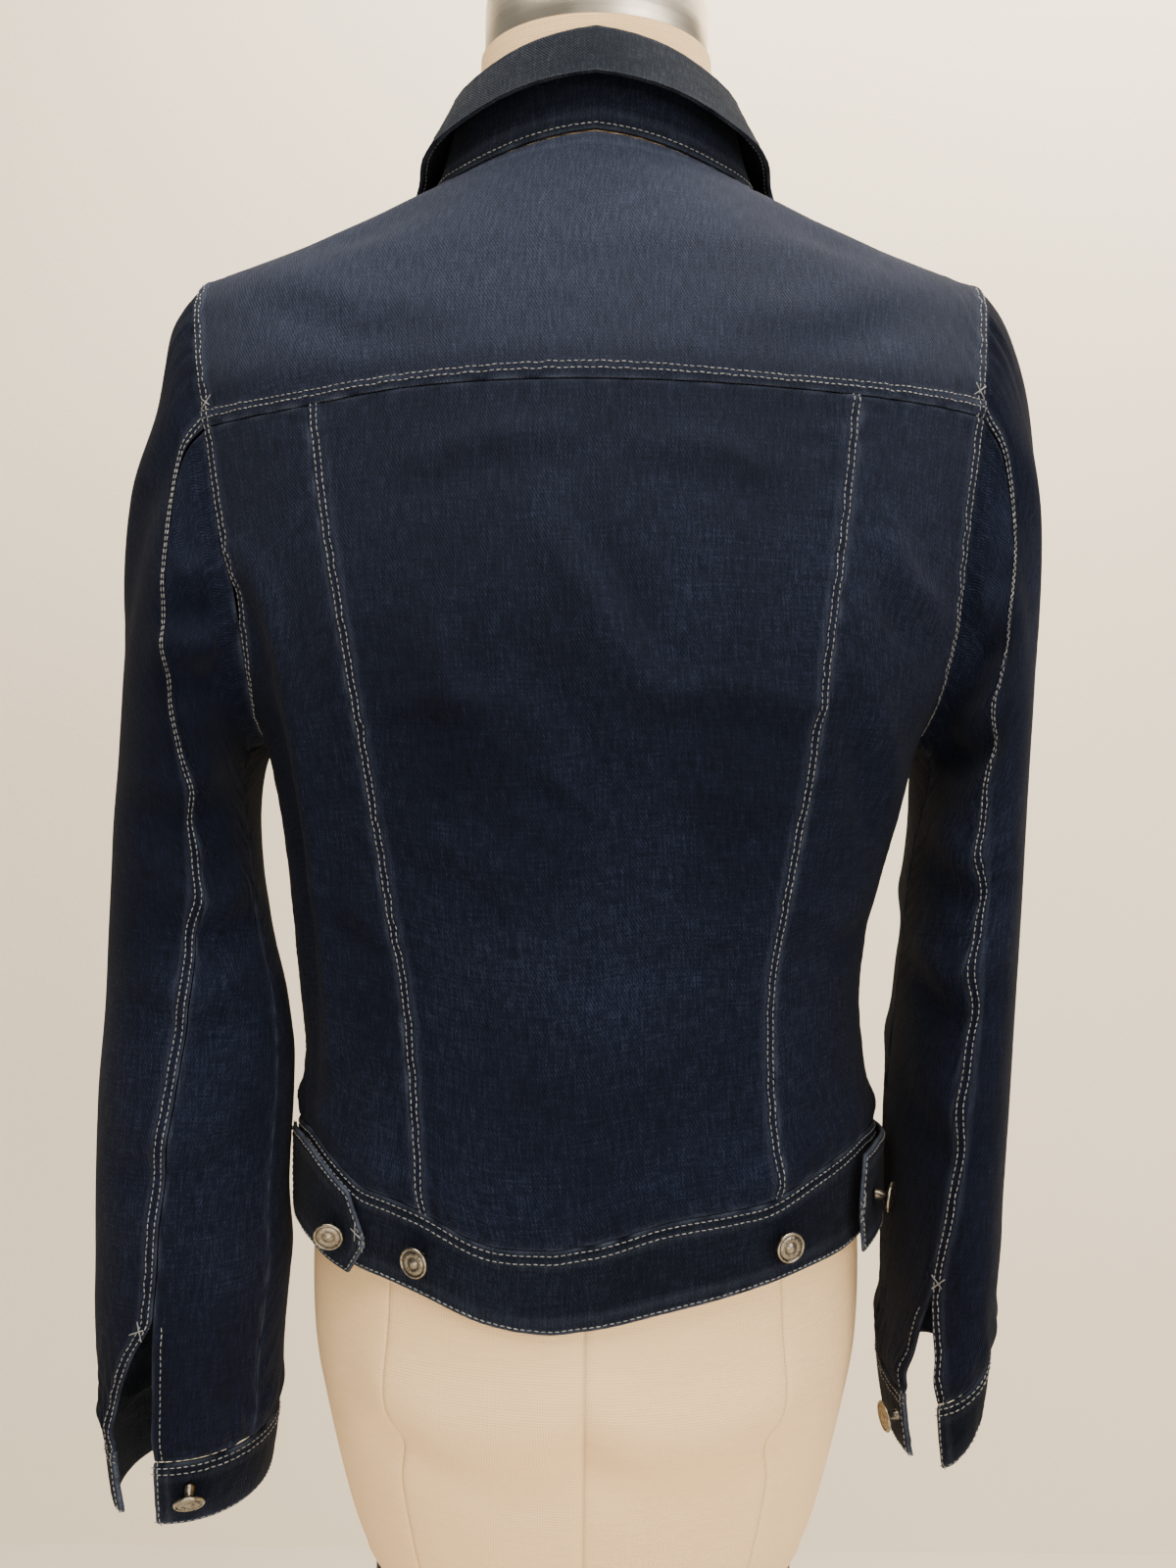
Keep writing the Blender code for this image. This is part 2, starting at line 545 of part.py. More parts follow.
def ring(z, half_width, back, front, sides=FORM_SIDES, p=2.2, centre=0.0):
    """A level ring of the dress form."""
    turn = np.arange(sides) * 2 * math.pi / sides
    sine, cosine = np.sin(turn), np.cos(turn)
    x = half_width * np.sign(sine) * np.abs(sine) ** (2 / p)
    depth = np.where(cosine > 0, back, front) * np.sign(cosine) * np.abs(cosine) ** (2 / p)
    return np.stack([x, centre + depth, np.full(sides, z)], -1)


def sleeve_point(side, sign, table, row, angle):
    """A point of the sleeve's outside: row counts the table's rings, angle is in degrees from the
    ring's outer point over its back."""
    row, angle = np.broadcast_arrays(np.asarray(row, float), np.asarray(angle, float))
    rows = np.array(table, float)
    keys = np.arange(len(rows))

    def size(name, at=row, scale=CM):
        return smooth(keys, rows[:, SLEEVE_COLUMNS.index(name)] * scale, at)

    def ellipse(at):
        square = size("square", at, 1)
        turn = np.radians(angle)
        across = np.sign(np.cos(turn)) * np.abs(np.cos(turn)) ** (2 / square)
        deep = np.sign(np.sin(turn)) * np.abs(np.sin(turn)) ** (2 / square)
        x = (size("outer_x", at) * (1 + across) + size("inner_x", at) * (1 - across)) / 2
        z = (size("outer_z", at) * (1 + across) + size("inner_z", at) * (1 - across)) / 2
        y = (size("back", at) * (1 + deep) + size("front", at) * (1 - deep)) / 2
        return np.stack([sign * x, y, z], -1)

    hole = armhole(side, sign, np.radians(angle % 360))
    own_shape = body(hole[..., 0], hole[..., 1]) - ellipse(np.zeros(row.shape))
    return ellipse(row) + own_shape * size("armhole", scale=1)[..., None]


def sleeve_normal(side, sign, table, row, angle, step=0.05, turn=2.0):
    """Outward, from the differences along and around the sleeve."""
    last = len(table) - 1
    lower, upper = np.clip(row + step, 0, last), np.clip(row - step, 0, last)

    def point(at_row, at_angle):
        return sleeve_point(side, sign, table, at_row, at_angle)

    down = point(lower, angle) - point(upper, angle)
    around = point(row, angle + turn) - point(row, angle - turn)
    return unit(np.cross(down, around)) * sign


def sleeve_angles(side, sign, table, row, stretch):
    """The angles of a piece's columns at this ring, for the upper or the under sleeve."""
    def at(name):
        return float(smooth(np.arange(len(table)), np.array(table)[:, SLEEVE_COLUMNS.index(name)], row))

    back_seam = math.degrees(yoke_corner(side, sign)) if row == 0 else at("back_seam")
    if stretch == "upper":
        back = np.linspace(back_seam - at("slit_outer"), 0, YOKE_ROWS + 1)
        share = (np.degrees(front_turns()[::-1]) - 180) / 180
        front = (at("under_seam") - 360) * (1 - share)
        return join(back, front)
    return np.linspace(back_seam + at("slit_under"), at("under_seam"), ARMHOLE_BACK_ROWS + 1)


def add_sleeve(side, sign, table, stretch, look):
    rows = np.arange(len(table), dtype=float)
    angles = np.array([sleeve_angles(side, sign, table, row, stretch) for row in rows])
    rows = np.broadcast_to(rows[:, None], angles.shape)
    outer = sleeve_point(side, sign, table, rows, angles)
    normal = sleeve_normal(side, sign, table, rows, angles)
    hole = armhole(side, sign, np.radians(angles[0] % 360))
    panel = body_normal(hole[:, 0], hole[:, 1])
    shared = np.clip((normal[0] * panel).sum(-1, keepdims=True) * 2 + 0.3, 0, 1)
    normal[0] = unit(normal[0] * (1 - shared) + panel * shared)
    inner = outer - normal * DENIM
    outer, inner = (draw_back(points, GAP * 1.5, "esw") for points in (outer, inner))
    outer, inner = (draw_back(points, GAP * 1.6, "n") for points in (outer, inner))
    return wall(f"sleeve_{stretch}_{side}", outer, inner, look)


def add_cuff(side, sign, table, look):
    """The cuff follows the sleeve's last ring and is open at the slit."""
    last = float(len(table) - 1)
    upper = sleeve_angles(side, sign, table, last, "upper")
    under = sleeve_angles(side, sign, table, last, "under")[::-1] - 360
    angles = join(upper, under)
    edge = sleeve_point(side, sign, table, last, angles)
    normal = unit(sleeve_normal(side, sign, table, np.full(len(angles), last), angles) * (1, 1, 0))
    outer, inner = [], []
    for i in range(CUFF_ROWS + 1):
        share = i / CUFF_ROWS
        face = edge - normal * (CUFF_TURN_IN * share**2 - BAND_PROUD)
        face[:, 2] -= CUFF_HEIGHT * share
        outer.append(face)
        inner.append(face - normal * FOLDED)
    outer, inner = (draw_back(np.array(points), GAP * 1.2, "n") for points in (outer, inner))
    return wall(f"cuff_{side}", outer, inner, look)


def collar_size(name, u):
    return column(COLLAR, COLLAR_COLUMNS, name, np.abs(u), key_scale=1)


def collar_profile(u):
    """Points up the stand, over the fold and down the fall, at the middle of the collar's cloth."""
    base = body(u, float(collar_size("neckline", u)))
    outward = unit(body_normal(u, float(collar_size("neckline", u))) * (1, 1, 0))
    up = np.array([0, 0, 1])
    foot = base - outward * (DENIM / 2) + up * (FOLDED / 2)
    rise, lean, drop, flare = (float(collar_size(name, u)) for name in COLLAR_COLUMNS[2:])
    fold_foot = foot + up * (rise - COLLAR_FOLD) - outward * lean
    fall_top = fold_foot + outward * 2 * COLLAR_FOLD
    edge = fall_top + outward * flare - up * (drop - COLLAR_FOLD)
    points = [foot + (fold_foot - foot) * i / COLLAR_STAND_ROWS for i in range(COLLAR_STAND_ROWS + 1)]
    for i in range(1, COLLAR_FOLD_ROWS + 1):
        turn = math.pi * i / COLLAR_FOLD_ROWS
        around = outward * (1 - math.cos(turn)) + up * math.sin(turn)
        points.append(fold_foot + around * COLLAR_FOLD)
    points += [fall_top + (edge - fall_top) * i / COLLAR_FALL_ROWS for i in range(1, COLLAR_FALL_ROWS + 1)]
    return np.array(points)


def grid_normal(points):
    """Normals of a grid of points, from its neighbours."""
    return unit(np.cross(np.gradient(points, axis=0), np.gradient(points, axis=1)))


def add_collar(look):
    back = np.linspace(-1, 1, NECK_BACK_COLUMNS + 1)
    front = np.linspace(1, FRONT_EDGE, NECK_FRONT_COLUMNS + 1)
    around = join(-front[::-1], back, front)
    middle = np.array([collar_profile(u) for u in around]).swapaxes(0, 1)
    normal = grid_normal(middle)
    return wall("collar", middle + normal * FOLDED / 2, middle - normal * FOLDED / 2, look)


def add_body_panels(look):
    corner = {side: yoke_corner(side, sign) for side, sign, _ in SIDES}
    seams = {side: princess(side, sign) for side, sign, _ in SIDES}
    backs = {
        side: armhole(side, sign, np.linspace(corner[side], math.pi, ARMHOLE_BACK_ROWS + 1))
        for side, sign, _ in SIDES
    }
    tops = {}
    for side, sign, _ in SIDES:
        inner_x = body(*seams[side][0])[0]
        outer_x = body(*backs[side][0])[0]
        tops[side] = yoke_seam(np.linspace(inner_x, outer_x, SIDE_BACK_COLUMNS + 1))
        tops[side][0], tops[side][-1] = seams[side][0], backs[side][0]
        bottom = band_top(seams[side][-1][0], sign, SIDE_BACK_COLUMNS)
        outer_edge = join(backs[side], side_seam(sign))
        body_wall(f"side_back_{side}", patch(tops[side], bottom, seams[side], outer_edge), look)
    left_x, right_x = (body(*seams[side][0])[0] for side in ("left", "right"))
    across = yoke_seam(np.linspace(right_x, left_x, CENTRE_COLUMNS + 1))
    across[0], across[-1] = seams["right"][0], seams["left"][0]
    bottom = band_top(seams["right"][-1][0], seams["left"][-1][0], CENTRE_COLUMNS)
    body_wall("centre_back", patch(across, bottom, seams["right"], seams["left"]), look)

    edges = {
        side: armhole(side, sign, np.linspace(0, corner[side], YOKE_ROWS + 1))
        for side, sign, _ in SIDES
    }
    back_neck = neckline(np.linspace(-1, 1, NECK_BACK_COLUMNS + 1))
    yoke_top = join(shoulder_seam(-1), back_neck, shoulder_seam(1)[::-1])
    yoke_bottom = join(tops["right"][::-1], across, tops["left"])
    body_wall("back_yoke", patch(yoke_top, yoke_bottom, edges["right"], edges["left"]), look)

    for side, sign, _ in SIDES:
        neck = neckline(sign * np.linspace(FRONT_EDGE, 1, NECK_FRONT_COLUMNS + 1))
        arm = armhole(side, sign, front_turns()[::-1])
        outer_edge = join(shoulder_seam(sign)[::-1], arm, side_seam(sign))
        bottom = band_top(sign * FRONT_EDGE, sign, NECK_FRONT_COLUMNS)
        z = front_edge_heights()
        edge = np.stack([np.full(len(z), sign * FRONT_EDGE), z], -1)
        body_wall(f"front_{side}", front_patch(sign, neck, bottom, edge, outer_edge), look)
    return seams


def add_waistband(seams, look):
    u = join(
        np.linspace(-FRONT_EDGE, -1, NECK_FRONT_COLUMNS + 1),
        np.linspace(-1, seams["right"][-1][0], SIDE_BACK_COLUMNS + 1),
        np.linspace(seams["right"][-1][0], seams["left"][-1][0], CENTRE_COLUMNS + 1),
        np.linspace(seams["left"][-1][0], 1, SIDE_BACK_COLUMNS + 1),
        np.linspace(1, FRONT_EDGE, NECK_FRONT_COLUMNS + 1),
    )
    top, hem = (np.stack([u, band_height(u, name)], -1) for name in ("top", "hem"))
    grid = np.stack([top, (top + hem) / 2, hem])
    body_wall("waistband", grid, look, outside=BAND_PROUD, thickness=FOLDED)


def front_u(x, z):
    return float(u_at(x, z, front=True))


def add_placket(look):
    """A strip over the two front edges, from the neck to the hem."""
    heights = front_edge_heights()
    heights[0] -= PLACKET_BELOW_NECK
    hem = float(band_height(2.0, "hem"))
    rows = []
    for z in join(heights, np.linspace(heights[-1], hem, 3)):
        left = body(front_u(PLACKET_WIDTH / 2, z), z)
        middle = body(2.0, z)
        right = left * (-1, 1, 1)
        rows.append([right, (right + middle) / 2, middle, (left + middle) / 2, left])
    outward = np.array([0, -1, 0])
    under = np.array(rows) + outward * (BAND_PROUD + PLACKET_CLEAR)
    wall("front_placket", under + outward * FOLDED, under, look)


def tab_grid(side, sign):
    """u and height of the tab's own grid: a strip with a pointed end."""
    point, shoulders, sewn_end, _ = TABS[side]
    u = np.concatenate([[point], np.linspace(shoulders, sewn_end, TAB_COLUMNS_ALONG)])
    grid = []
    for share in (0, 0.5, 1):
        top = band_height(u, "top") - TAB_TOP_BELOW_BAND
        bottom = band_height(u, "hem") - TAB_BELOW_HEM * np.linspace(1, -0.6, len(u))
        z = top + (bottom - top) * share
        tip = (top[0] + bottom[0]) / 2 + (0.5 - share) * TAB_POINT_WIDTH
        z[0] = tip
        grid.append(np.stack([u, z], -1))
    return np.array(grid)


def add_tab(side, sign, look):
    grid = tab_grid(side, sign)
    lift = TABS[side][3] * np.linspace(1, 0, grid.shape[1]) ** 1.6
    points, normal = body(grid[..., 0], grid[..., 1]), body_normal(grid[..., 0], grid[..., 1])
    under = points + normal * (BAND_PROUD + TAB_CLEAR + lift[None, :, None])
    wall(f"tab_{side}", under + normal * TAB_THICKNESS, under, look)


def add_button(name, foot, normal, axis, look):
    """A shank button: its foot lies flat on the cloth, and its stem leans along the axis and
    carries a low domed cap."""
    axis = unit(np.asarray(axis, float))
    turn = np.arange(BUTTON_SIDES)[:, None] * 2 * math.pi / BUTTON_SIDES
    rings = []
    for share, height in BUTTON_PROFILE:
        faces = normal if height == 0 else axis
        aside = unit(np.cross(faces, (0.3, 0.2, 1.0)))
        circle = np.cos(turn) * aside + np.sin(turn) * np.cross(faces, aside)
        rings.append(foot + axis * height + circle * share * BUTTON_RADIUS)
    return loft(name, rings, look)


def add_buttons(look):
    for name, u, z, clear, sideways, down in BAND_BUTTONS:
        normal = body_normal(u, z)
        base = body(u, z) + normal * (BAND_PROUD + GAP + clear)
        along = unit(np.cross((0, 0, 1), normal)) * -1
        add_button(name, base, normal, normal + along * sideways + np.array([0, 0, down]), look)
    highest = FRONT_NECK_HEIGHT - FRONT_BUTTON_BELOW_NECK
    lowest = float(band_height(2.0, "hem")) + FRONT_BUTTON_ABOVE_HEM
    outward = np.array([0, -1, 0])
    placket_face = BAND_PROUD + PLACKET_CLEAR + FOLDED
    for i, z in enumerate(np.linspace(highest, lowest, FRONT_BUTTONS)):
        foot = body(2.0, z) + outward * (placket_face + BUTTON_CLEAR)
        add_button(f"button_front_{i + 1}", foot, outward, outward + (0, 0, FRONT_BUTTON_DROOP), look)
    for side, sign, table in SIDES:
        last = float(len(table) - 1)
        angle, lean = CUFF_BUTTONS[side]
        edge = sleeve_point(side, sign, table, last, angle)
        normal = unit(sleeve_normal(side, sign, table, last, angle) * (1, 1, 0))
        base = edge + normal * (BAND_PROUD + GAP) - np.array([0, 0, CUFF_BUTTON_DOWN])
        add_button(f"button_cuff_{side}", base, normal, normal + np.array([0, 0, lean]), look)


def add_form(canvas, steel):
    rows = np.array(FORM) * CM
    rings = [ring(*row) for row in rows]
    loft("form_torso", rings, canvas)
    neck_bottom = rows[-1, 0] + GAP
    half_width, half_depth = NECK_SIZES
    neck_rings = []
    for share in np.linspace(0, 1, 4):
        z = neck_bottom + (NECK_TOP - neck_bottom) * share
        spread = 1 + 0.10 * (1 - share) ** 2
        across, deep = half_width * spread, half_depth * spread
        neck_rings.append(ring(z, across, deep, deep, p=2.0, centre=NECK_CENTRE))
    loft("form_neck", neck_rings, canvas)
    half_width, half_depth = CAP_SIZES
    cap_rings = []
    for share, size in CAP_ROWS:
        z = NECK_TOP + GAP + (CAP_TOP - NECK_TOP) * share
        across, deep = half_width * size, half_depth * size
        cap_rings.append(ring(z, across, deep, deep, p=2.0, centre=NECK_CENTRE))
    loft("neck_cap", cap_rings, steel)


def add_wire(name, points, closed, look):
    """A wire as a curve with round section, turned into a mesh."""
    curve = bpy.data.curves.new(name, "CURVE")
    curve.dimensions = "3D"
    curve.bevel_depth = WIRE_RADIUS
    curve.bevel_resolution = 1
    curve.use_fill_caps = not closed
    spline = curve.splines.new("POLY")
    spline.points.add(len(points) - 1)
    for target, point in zip(spline.points, points):
        target.co = (*point, 1)
    spline.use_cyclic_u = closed
    made = bpy.data.objects.new(name, curve)
    bpy.context.scene.collection.objects.link(made)
    curve.materials.append(look)
    return made


def hoop(z, half_width, half_depth, sides=24):
    turn = np.arange(sides) * 2 * math.pi / sides
    return np.stack([half_width * np.sin(turn), half_depth * np.cos(turn), np.full(sides, z)], -1)


def add_cage(look):
    """Hoops with upright wires outside them, parted from the hoops by a seam's gap."""
    for i, (z, half_width, half_depth) in enumerate(CAGE_HOOPS):
        add_wire(f"cage_hoop_{i + 1}", hoop(z * CM, half_width * CM, half_depth * CM), True, look)
    clear = 2 * WIRE_RADIUS + WIRE_CLEAR
    for i in range(CAGE_WIRES):
        turn = 2 * math.pi * i / CAGE_WIRES
        points = []
        for z, half_width, half_depth in CAGE_HOOPS:
            across = (half_width * CM + clear) * math.sin(turn)
            deep = (half_depth * CM + clear) * math.cos(turn)
            points.append((across, deep, z * CM))
        points[0] = (points[0][0], points[0][1], CAGE_WIRE_TOP)
        points[-1] = (points[-1][0], points[-1][1], CAGE_HOOPS[-1][0] * CM - 2 * WIRE_RADIUS)
        add_wire(f"cage_wire_{i + 1}", points, False, look)


def turned(name, profile, sides, look):
    """A round solid about the Z axis from its radii and heights."""
    turn = np.arange(sides) * 2 * math.pi / sides
    rings = [np.stack([r * np.cos(turn), r * np.sin(turn), np.full(sides, z)], -1) for r, z in profile]
    return loft(name, rings, look)


def add_stand(iron):
    turned("base", (
        (BASE_RADIUS, 0.0),
        (BASE_RADIUS, 0.010),
        (BASE_RADIUS - 0.012, 0.019),
        (0.075, BASE_HEIGHT),
        (HUB_RADIUS, 0.045),
        (HUB_RADIUS * 0.72, HUB_TOP),
    ), 40, iron)
    torso_bottom = FORM[0][0] * CM
    turned("pole", ((POLE_RADIUS, HUB_TOP + GAP), (POLE_RADIUS, torso_bottom - GAP)), 24, iron)


def main():
    for existing in list(bpy.data.objects):
        bpy.data.objects.remove(existing, do_unlink=True)
    denim = material("dark indigo stretch denim", (0.011, 0.019, 0.042), 0.85)
    canvas = material("natural linen canvas", (0.68, 0.54, 0.38), 0.8)
    steel = material("brushed stainless steel", (0.60, 0.60, 0.60), 0.3, 1.0)
    nickel = material("antique nickel", (0.36, 0.34, 0.31), 0.35, 1.0)
    iron = material("black enamelled iron", (0.02, 0.02, 0.022), 0.4)
    seams = add_body_panels(denim)
    add_waistband(seams, denim)
    add_placket(denim)
    add_collar(denim)
    for side, sign, table in SIDES:
        add_sleeve(side, sign, table, "upper", denim)
        add_sleeve(side, sign, table, "under", denim)
        add_cuff(side, sign, table, denim)
        add_tab(side, sign, denim)
    add_buttons(nickel)
    add_form(canvas, steel)
    add_cage(iron)
    add_stand(iron)


main()
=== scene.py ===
"""Looks of a women's denim jacket on a limbless dress form: cloth, stitching, buttons and finishes.

Metres, +Z up. The jacket's front faces -Y and the wearer's left is +X. Around the body, u runs from
0 at the centre back over 1 at the side seam to 2 at the centre front, plus on the wearer's left.
Tables are in centimetres and their heights are above the floor.
"""

import math

import bpy
import numpy as np
from mathutils import Matrix


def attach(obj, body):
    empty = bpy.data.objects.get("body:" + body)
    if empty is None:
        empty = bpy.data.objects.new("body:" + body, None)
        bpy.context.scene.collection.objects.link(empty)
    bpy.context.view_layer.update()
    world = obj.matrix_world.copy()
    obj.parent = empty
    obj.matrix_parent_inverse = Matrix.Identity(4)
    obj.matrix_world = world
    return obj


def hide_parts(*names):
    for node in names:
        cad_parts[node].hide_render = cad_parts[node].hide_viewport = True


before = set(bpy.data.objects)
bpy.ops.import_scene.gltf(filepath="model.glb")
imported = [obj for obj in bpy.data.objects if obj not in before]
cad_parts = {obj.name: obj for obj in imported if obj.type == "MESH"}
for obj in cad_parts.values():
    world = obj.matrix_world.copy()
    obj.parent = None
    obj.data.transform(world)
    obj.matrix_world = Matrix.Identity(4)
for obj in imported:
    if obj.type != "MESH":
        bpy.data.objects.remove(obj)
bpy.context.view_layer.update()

CM = 0.01
MM = 0.001

# Driving sizes.
GAP = 0.0003  # between two pieces at a seam
DENIM = 0.0014  # one layer of stretch denim with its seam allowances
FOLDED = 0.0024  # waistband, cuffs, tabs and collar: two layers with interlining
BAND_PROUD = 0.0008  # a folded piece stands this far out from the panel it is sewn to
SHOULDER_HEIGHT = 1.296  # outer end of the shoulder seam
NECK_HEIGHT = 1.341  # inner end of the shoulder seam
UNDERARM_HEIGHT = 1.053
FRONT_NECK_HEIGHT = 1.280
FRONT_EDGE = 1.985  # u of the front edges under the placket
WIDEST_HEIGHT = 1.255  # above it the shoulders narrow
FRONT_SPREAD = 2.2  # how the fronts' columns crowd toward the side seam
PLACKET_WIDTH = 0.036
PLACKET_CLEAR = 0.0009  # the placket's underside above the waistband's face
PLACKET_BELOW_NECK = 0.003
BUTTON_RADIUS = 0.0072
SHANK_LENGTH = 0.0075
FRONT_BUTTONS = 5
BUTTON_CLEAR = 0.0014  # under a front button's foot, where the placket curves
FRONT_BUTTON_BELOW_NECK = 0.020
FRONT_BUTTON_ABOVE_HEM = 0.019

# How many faces run along each stretch: the frame's own numbers, each split into FINE.
FINE = 8
YOKE_ROWS = 6 * FINE
ARMHOLE_BACK_ROWS = 6 * FINE
ARMHOLE_FRONT_ROWS = 9 * FINE
SIDE_ROWS = 8 * FINE
SIDE_BACK_COLUMNS = 4 * FINE
SHOULDER_COLUMNS = 6 * FINE
NECK_BACK_COLUMNS = 8 * FINE
NECK_FRONT_COLUMNS = 9 * FINE
CENTRE_COLUMNS = NECK_BACK_COLUMNS + 2 * (SHOULDER_COLUMNS - SIDE_BACK_COLUMNS)
COLLAR_STAND_ROWS = 12
COLLAR_FOLD_ROWS = 8
COLLAR_FALL_ROWS = 12
CUFF_FINE_ROWS = 12
TAB_COLUMNS_ALONG = 6
SLEEVE_ROWS = 12
BAND_ROWS = 12
PLACKET_COLUMNS = 12
TAB_FINE_ROWS = 14
TAB_FINE_COLUMNS = 42
THREAD_PROUD = 0.00018

# How far apart the points lie that a normal is worked out from.
STEP_U, STEP_UP = 0.004, 0.001
STEP_ROW, STEP_ANGLE = 0.05, 2.0

# Horizontal sections of the jacket's outside. The roundness columns p and q shape each half as
# depth = middle depth * (1 - (x / half width) ** p) ** q. The left side is less drawn in.
TORSO_COLUMNS = ("height", "left", "right", "back", "front", "back_p", "back_q", "front_p", "front_q")
TORSO = (
    (77.0, 14.85, 14.85, 10.80, 9.70, 2.30, 0.46, 2.30, 0.46),
    (80.0, 14.95, 14.95, 10.80, 9.70, 2.30, 0.46, 2.30, 0.46),
    (83.0, 15.10, 15.10, 10.70, 9.60, 2.30, 0.46, 2.30, 0.46),
    (86.0, 15.10, 15.05, 10.35, 9.45, 2.30, 0.46, 2.30, 0.46),
    (88.5, 15.05, 14.65, 10.05, 9.40, 2.30, 0.46, 2.30, 0.46),
    (92.0, 15.35, 14.35, 9.85, 9.70, 2.30, 0.46, 2.30, 0.46),
    (96.0, 15.75, 14.80, 10.00, 10.70, 2.35, 0.45, 2.30, 0.46),
    (100.0, 16.20, 15.85, 10.30, 11.90, 2.40, 0.44, 2.30, 0.46),
    (103.0, 16.70, 16.60, 10.55, 12.60, 2.40, 0.43, 2.30, 0.46),
    (105.3, 17.25, 17.25, 10.75, 12.80, 2.40, 0.43, 2.30, 0.46),
    (107.0, 18.05, 18.05, 10.85, 12.80, 2.40, 0.43, 2.30, 0.46),
    (109.5, 19.20, 19.20, 10.95, 12.60, 2.40, 0.43, 2.30, 0.46),
    (112.5, 20.30, 20.30, 11.00, 12.20, 2.40, 0.44, 2.30, 0.48),
    (116.0, 21.30, 21.30, 10.90, 11.40, 2.40, 0.45, 2.30, 0.50),
    (121.0, 22.50, 22.50, 10.50, 10.00, 2.35, 0.48, 2.20, 0.54),
    (125.0, 23.20, 23.20, 9.80, 8.90, 2.25, 0.54, 2.20, 0.58),
    (127.2, 23.10, 23.10, 9.25, 8.35, 2.15, 0.60, 2.15, 0.62),
    (128.5, 22.30, 22.30, 8.95, 8.05, 2.10, 0.74, 2.10, 0.66),
    (129.6, 20.40, 20.40, 8.60, 7.80, 2.10, 0.92, 2.10, 0.70),
    (131.0, 16.40, 16.40, 8.15, 7.50, 2.10, 0.98, 2.10, 0.70),
    (132.5, 12.40, 12.40, 7.65, 7.10, 2.10, 0.92, 2.10, 0.64),
    (134.0, 8.40, 8.40, 7.10, 6.70, 2.10, 0.76, 2.10, 0.54),
    (135.0, 6.20, 6.20, 6.60, 6.40, 2.10, 0.70, 2.10, 0.50),
)
# How far out from the middle the armhole seam runs.
ARMHOLE_COLUMNS = ("height", "left_back", "right_back", "left_front", "right_front")
ARMHOLE = (
    (105.3, 17.25, 17.25, 17.25, 17.25),
    (106.5, 17.10, 17.55, 16.60, 16.60),
    (109.0, 17.15, 17.95, 16.00, 16.00),
    (112.5, 17.50, 18.15, 15.90, 15.90),
    (116.0, 18.25, 18.40, 16.20, 16.20),
    (120.5, 19.00, 18.95, 17.00, 17.00),
    (124.5, 19.75, 19.35, 18.20, 18.20),
    (127.5, 20.15, 19.75, 19.40, 19.40),
    (129.6, 20.40, 20.40, 20.40, 20.40),
)
# The seam from the yoke to the waistband.
PRINCESS_COLUMNS = ("height", "left", "right")
PRINCESS = (
    (83.0, 7.70, 9.30),
    (86.0, 8.10, 9.00),
    (90.0, 8.50, 8.80),
    (93.8, 8.90, 8.85),
    (96.8, 9.50, 9.30),
    (101.5, 10.25, 10.10),
    (106.0, 11.00, 10.80),
    (110.6, 11.80, 11.30),
    (115.0, 12.55, 11.80),
    (121.5, 13.40, 12.45),
)
PRINCESS_STEPS = 4  # to find where the seam meets the band's sloping edge

# Heights of the seams that run across, by distance from the middle or by u.
YOKE_SEAM_COLUMNS = ("across", "height")
YOKE_SEAM = ((-19.5, 121.0), (-12.4, 121.05), (0.0, 121.3), (8.2, 121.0), (14.0, 120.35), (19.5, 120.1))
BAND_COLUMNS = ("u", "top", "hem")
BAND = (
    (-2.00, 83.6, 79.8),
    (-1.50, 84.2, 80.2),
    (-1.00, 85.4, 80.9),
    (-0.72, 85.8, 81.0),
    (-0.58, 85.3, 80.7),
    (-0.467, 84.7, 80.5),
    (-0.34, 83.8, 80.1),
    (-0.256, 83.6, 79.8),
    (-0.115, 83.2, 79.2),
    (0.00, 82.3, 78.5),
    (0.05, 82.05, 78.3),
    (0.158, 82.15, 78.6),
    (0.298, 83.35, 79.6),
    (0.382, 83.75, 80.0),
    (0.467, 84.0, 80.2),
    (0.56, 84.8, 80.4),
    (0.72, 85.8, 80.9),
    (1.00, 85.4, 80.9),
    (1.50, 84.2, 80.2),
    (2.00, 83.6, 79.8),
)
# The neckline and the collar that stands on it: the rise to the fold, how far the fold leans in,
# and how far down and out from the fold the free edge hangs.
COLLAR_COLUMNS = ("u", "neckline", "rise", "lean", "drop", "flare")
COLLAR = (
    (0.00, 134.4, 4.70, 0.10, 2.45, 0.45),
    (0.30, 133.9, 4.65, 0.35, 2.55, 0.75),
    (0.50, 133.5, 4.50, 0.80, 2.70, 1.10),
    (1.00, 134.1, 3.50, 1.70, 2.95, 2.60),
    (1.25, 133.3, 3.20, 1.60, 2.60, 3.20),
    (1.50, 131.7, 3.00, 1.20, 3.50, 3.10),
    (1.75, 129.6, 2.80, 0.80, 4.20, 3.10),
    (2.00, 128.0, 2.60, 0.40, 4.80, 3.00),
)
COLLAR_FOLD = 0.0026  # radius of the collar's fold, at the middle of the cloth

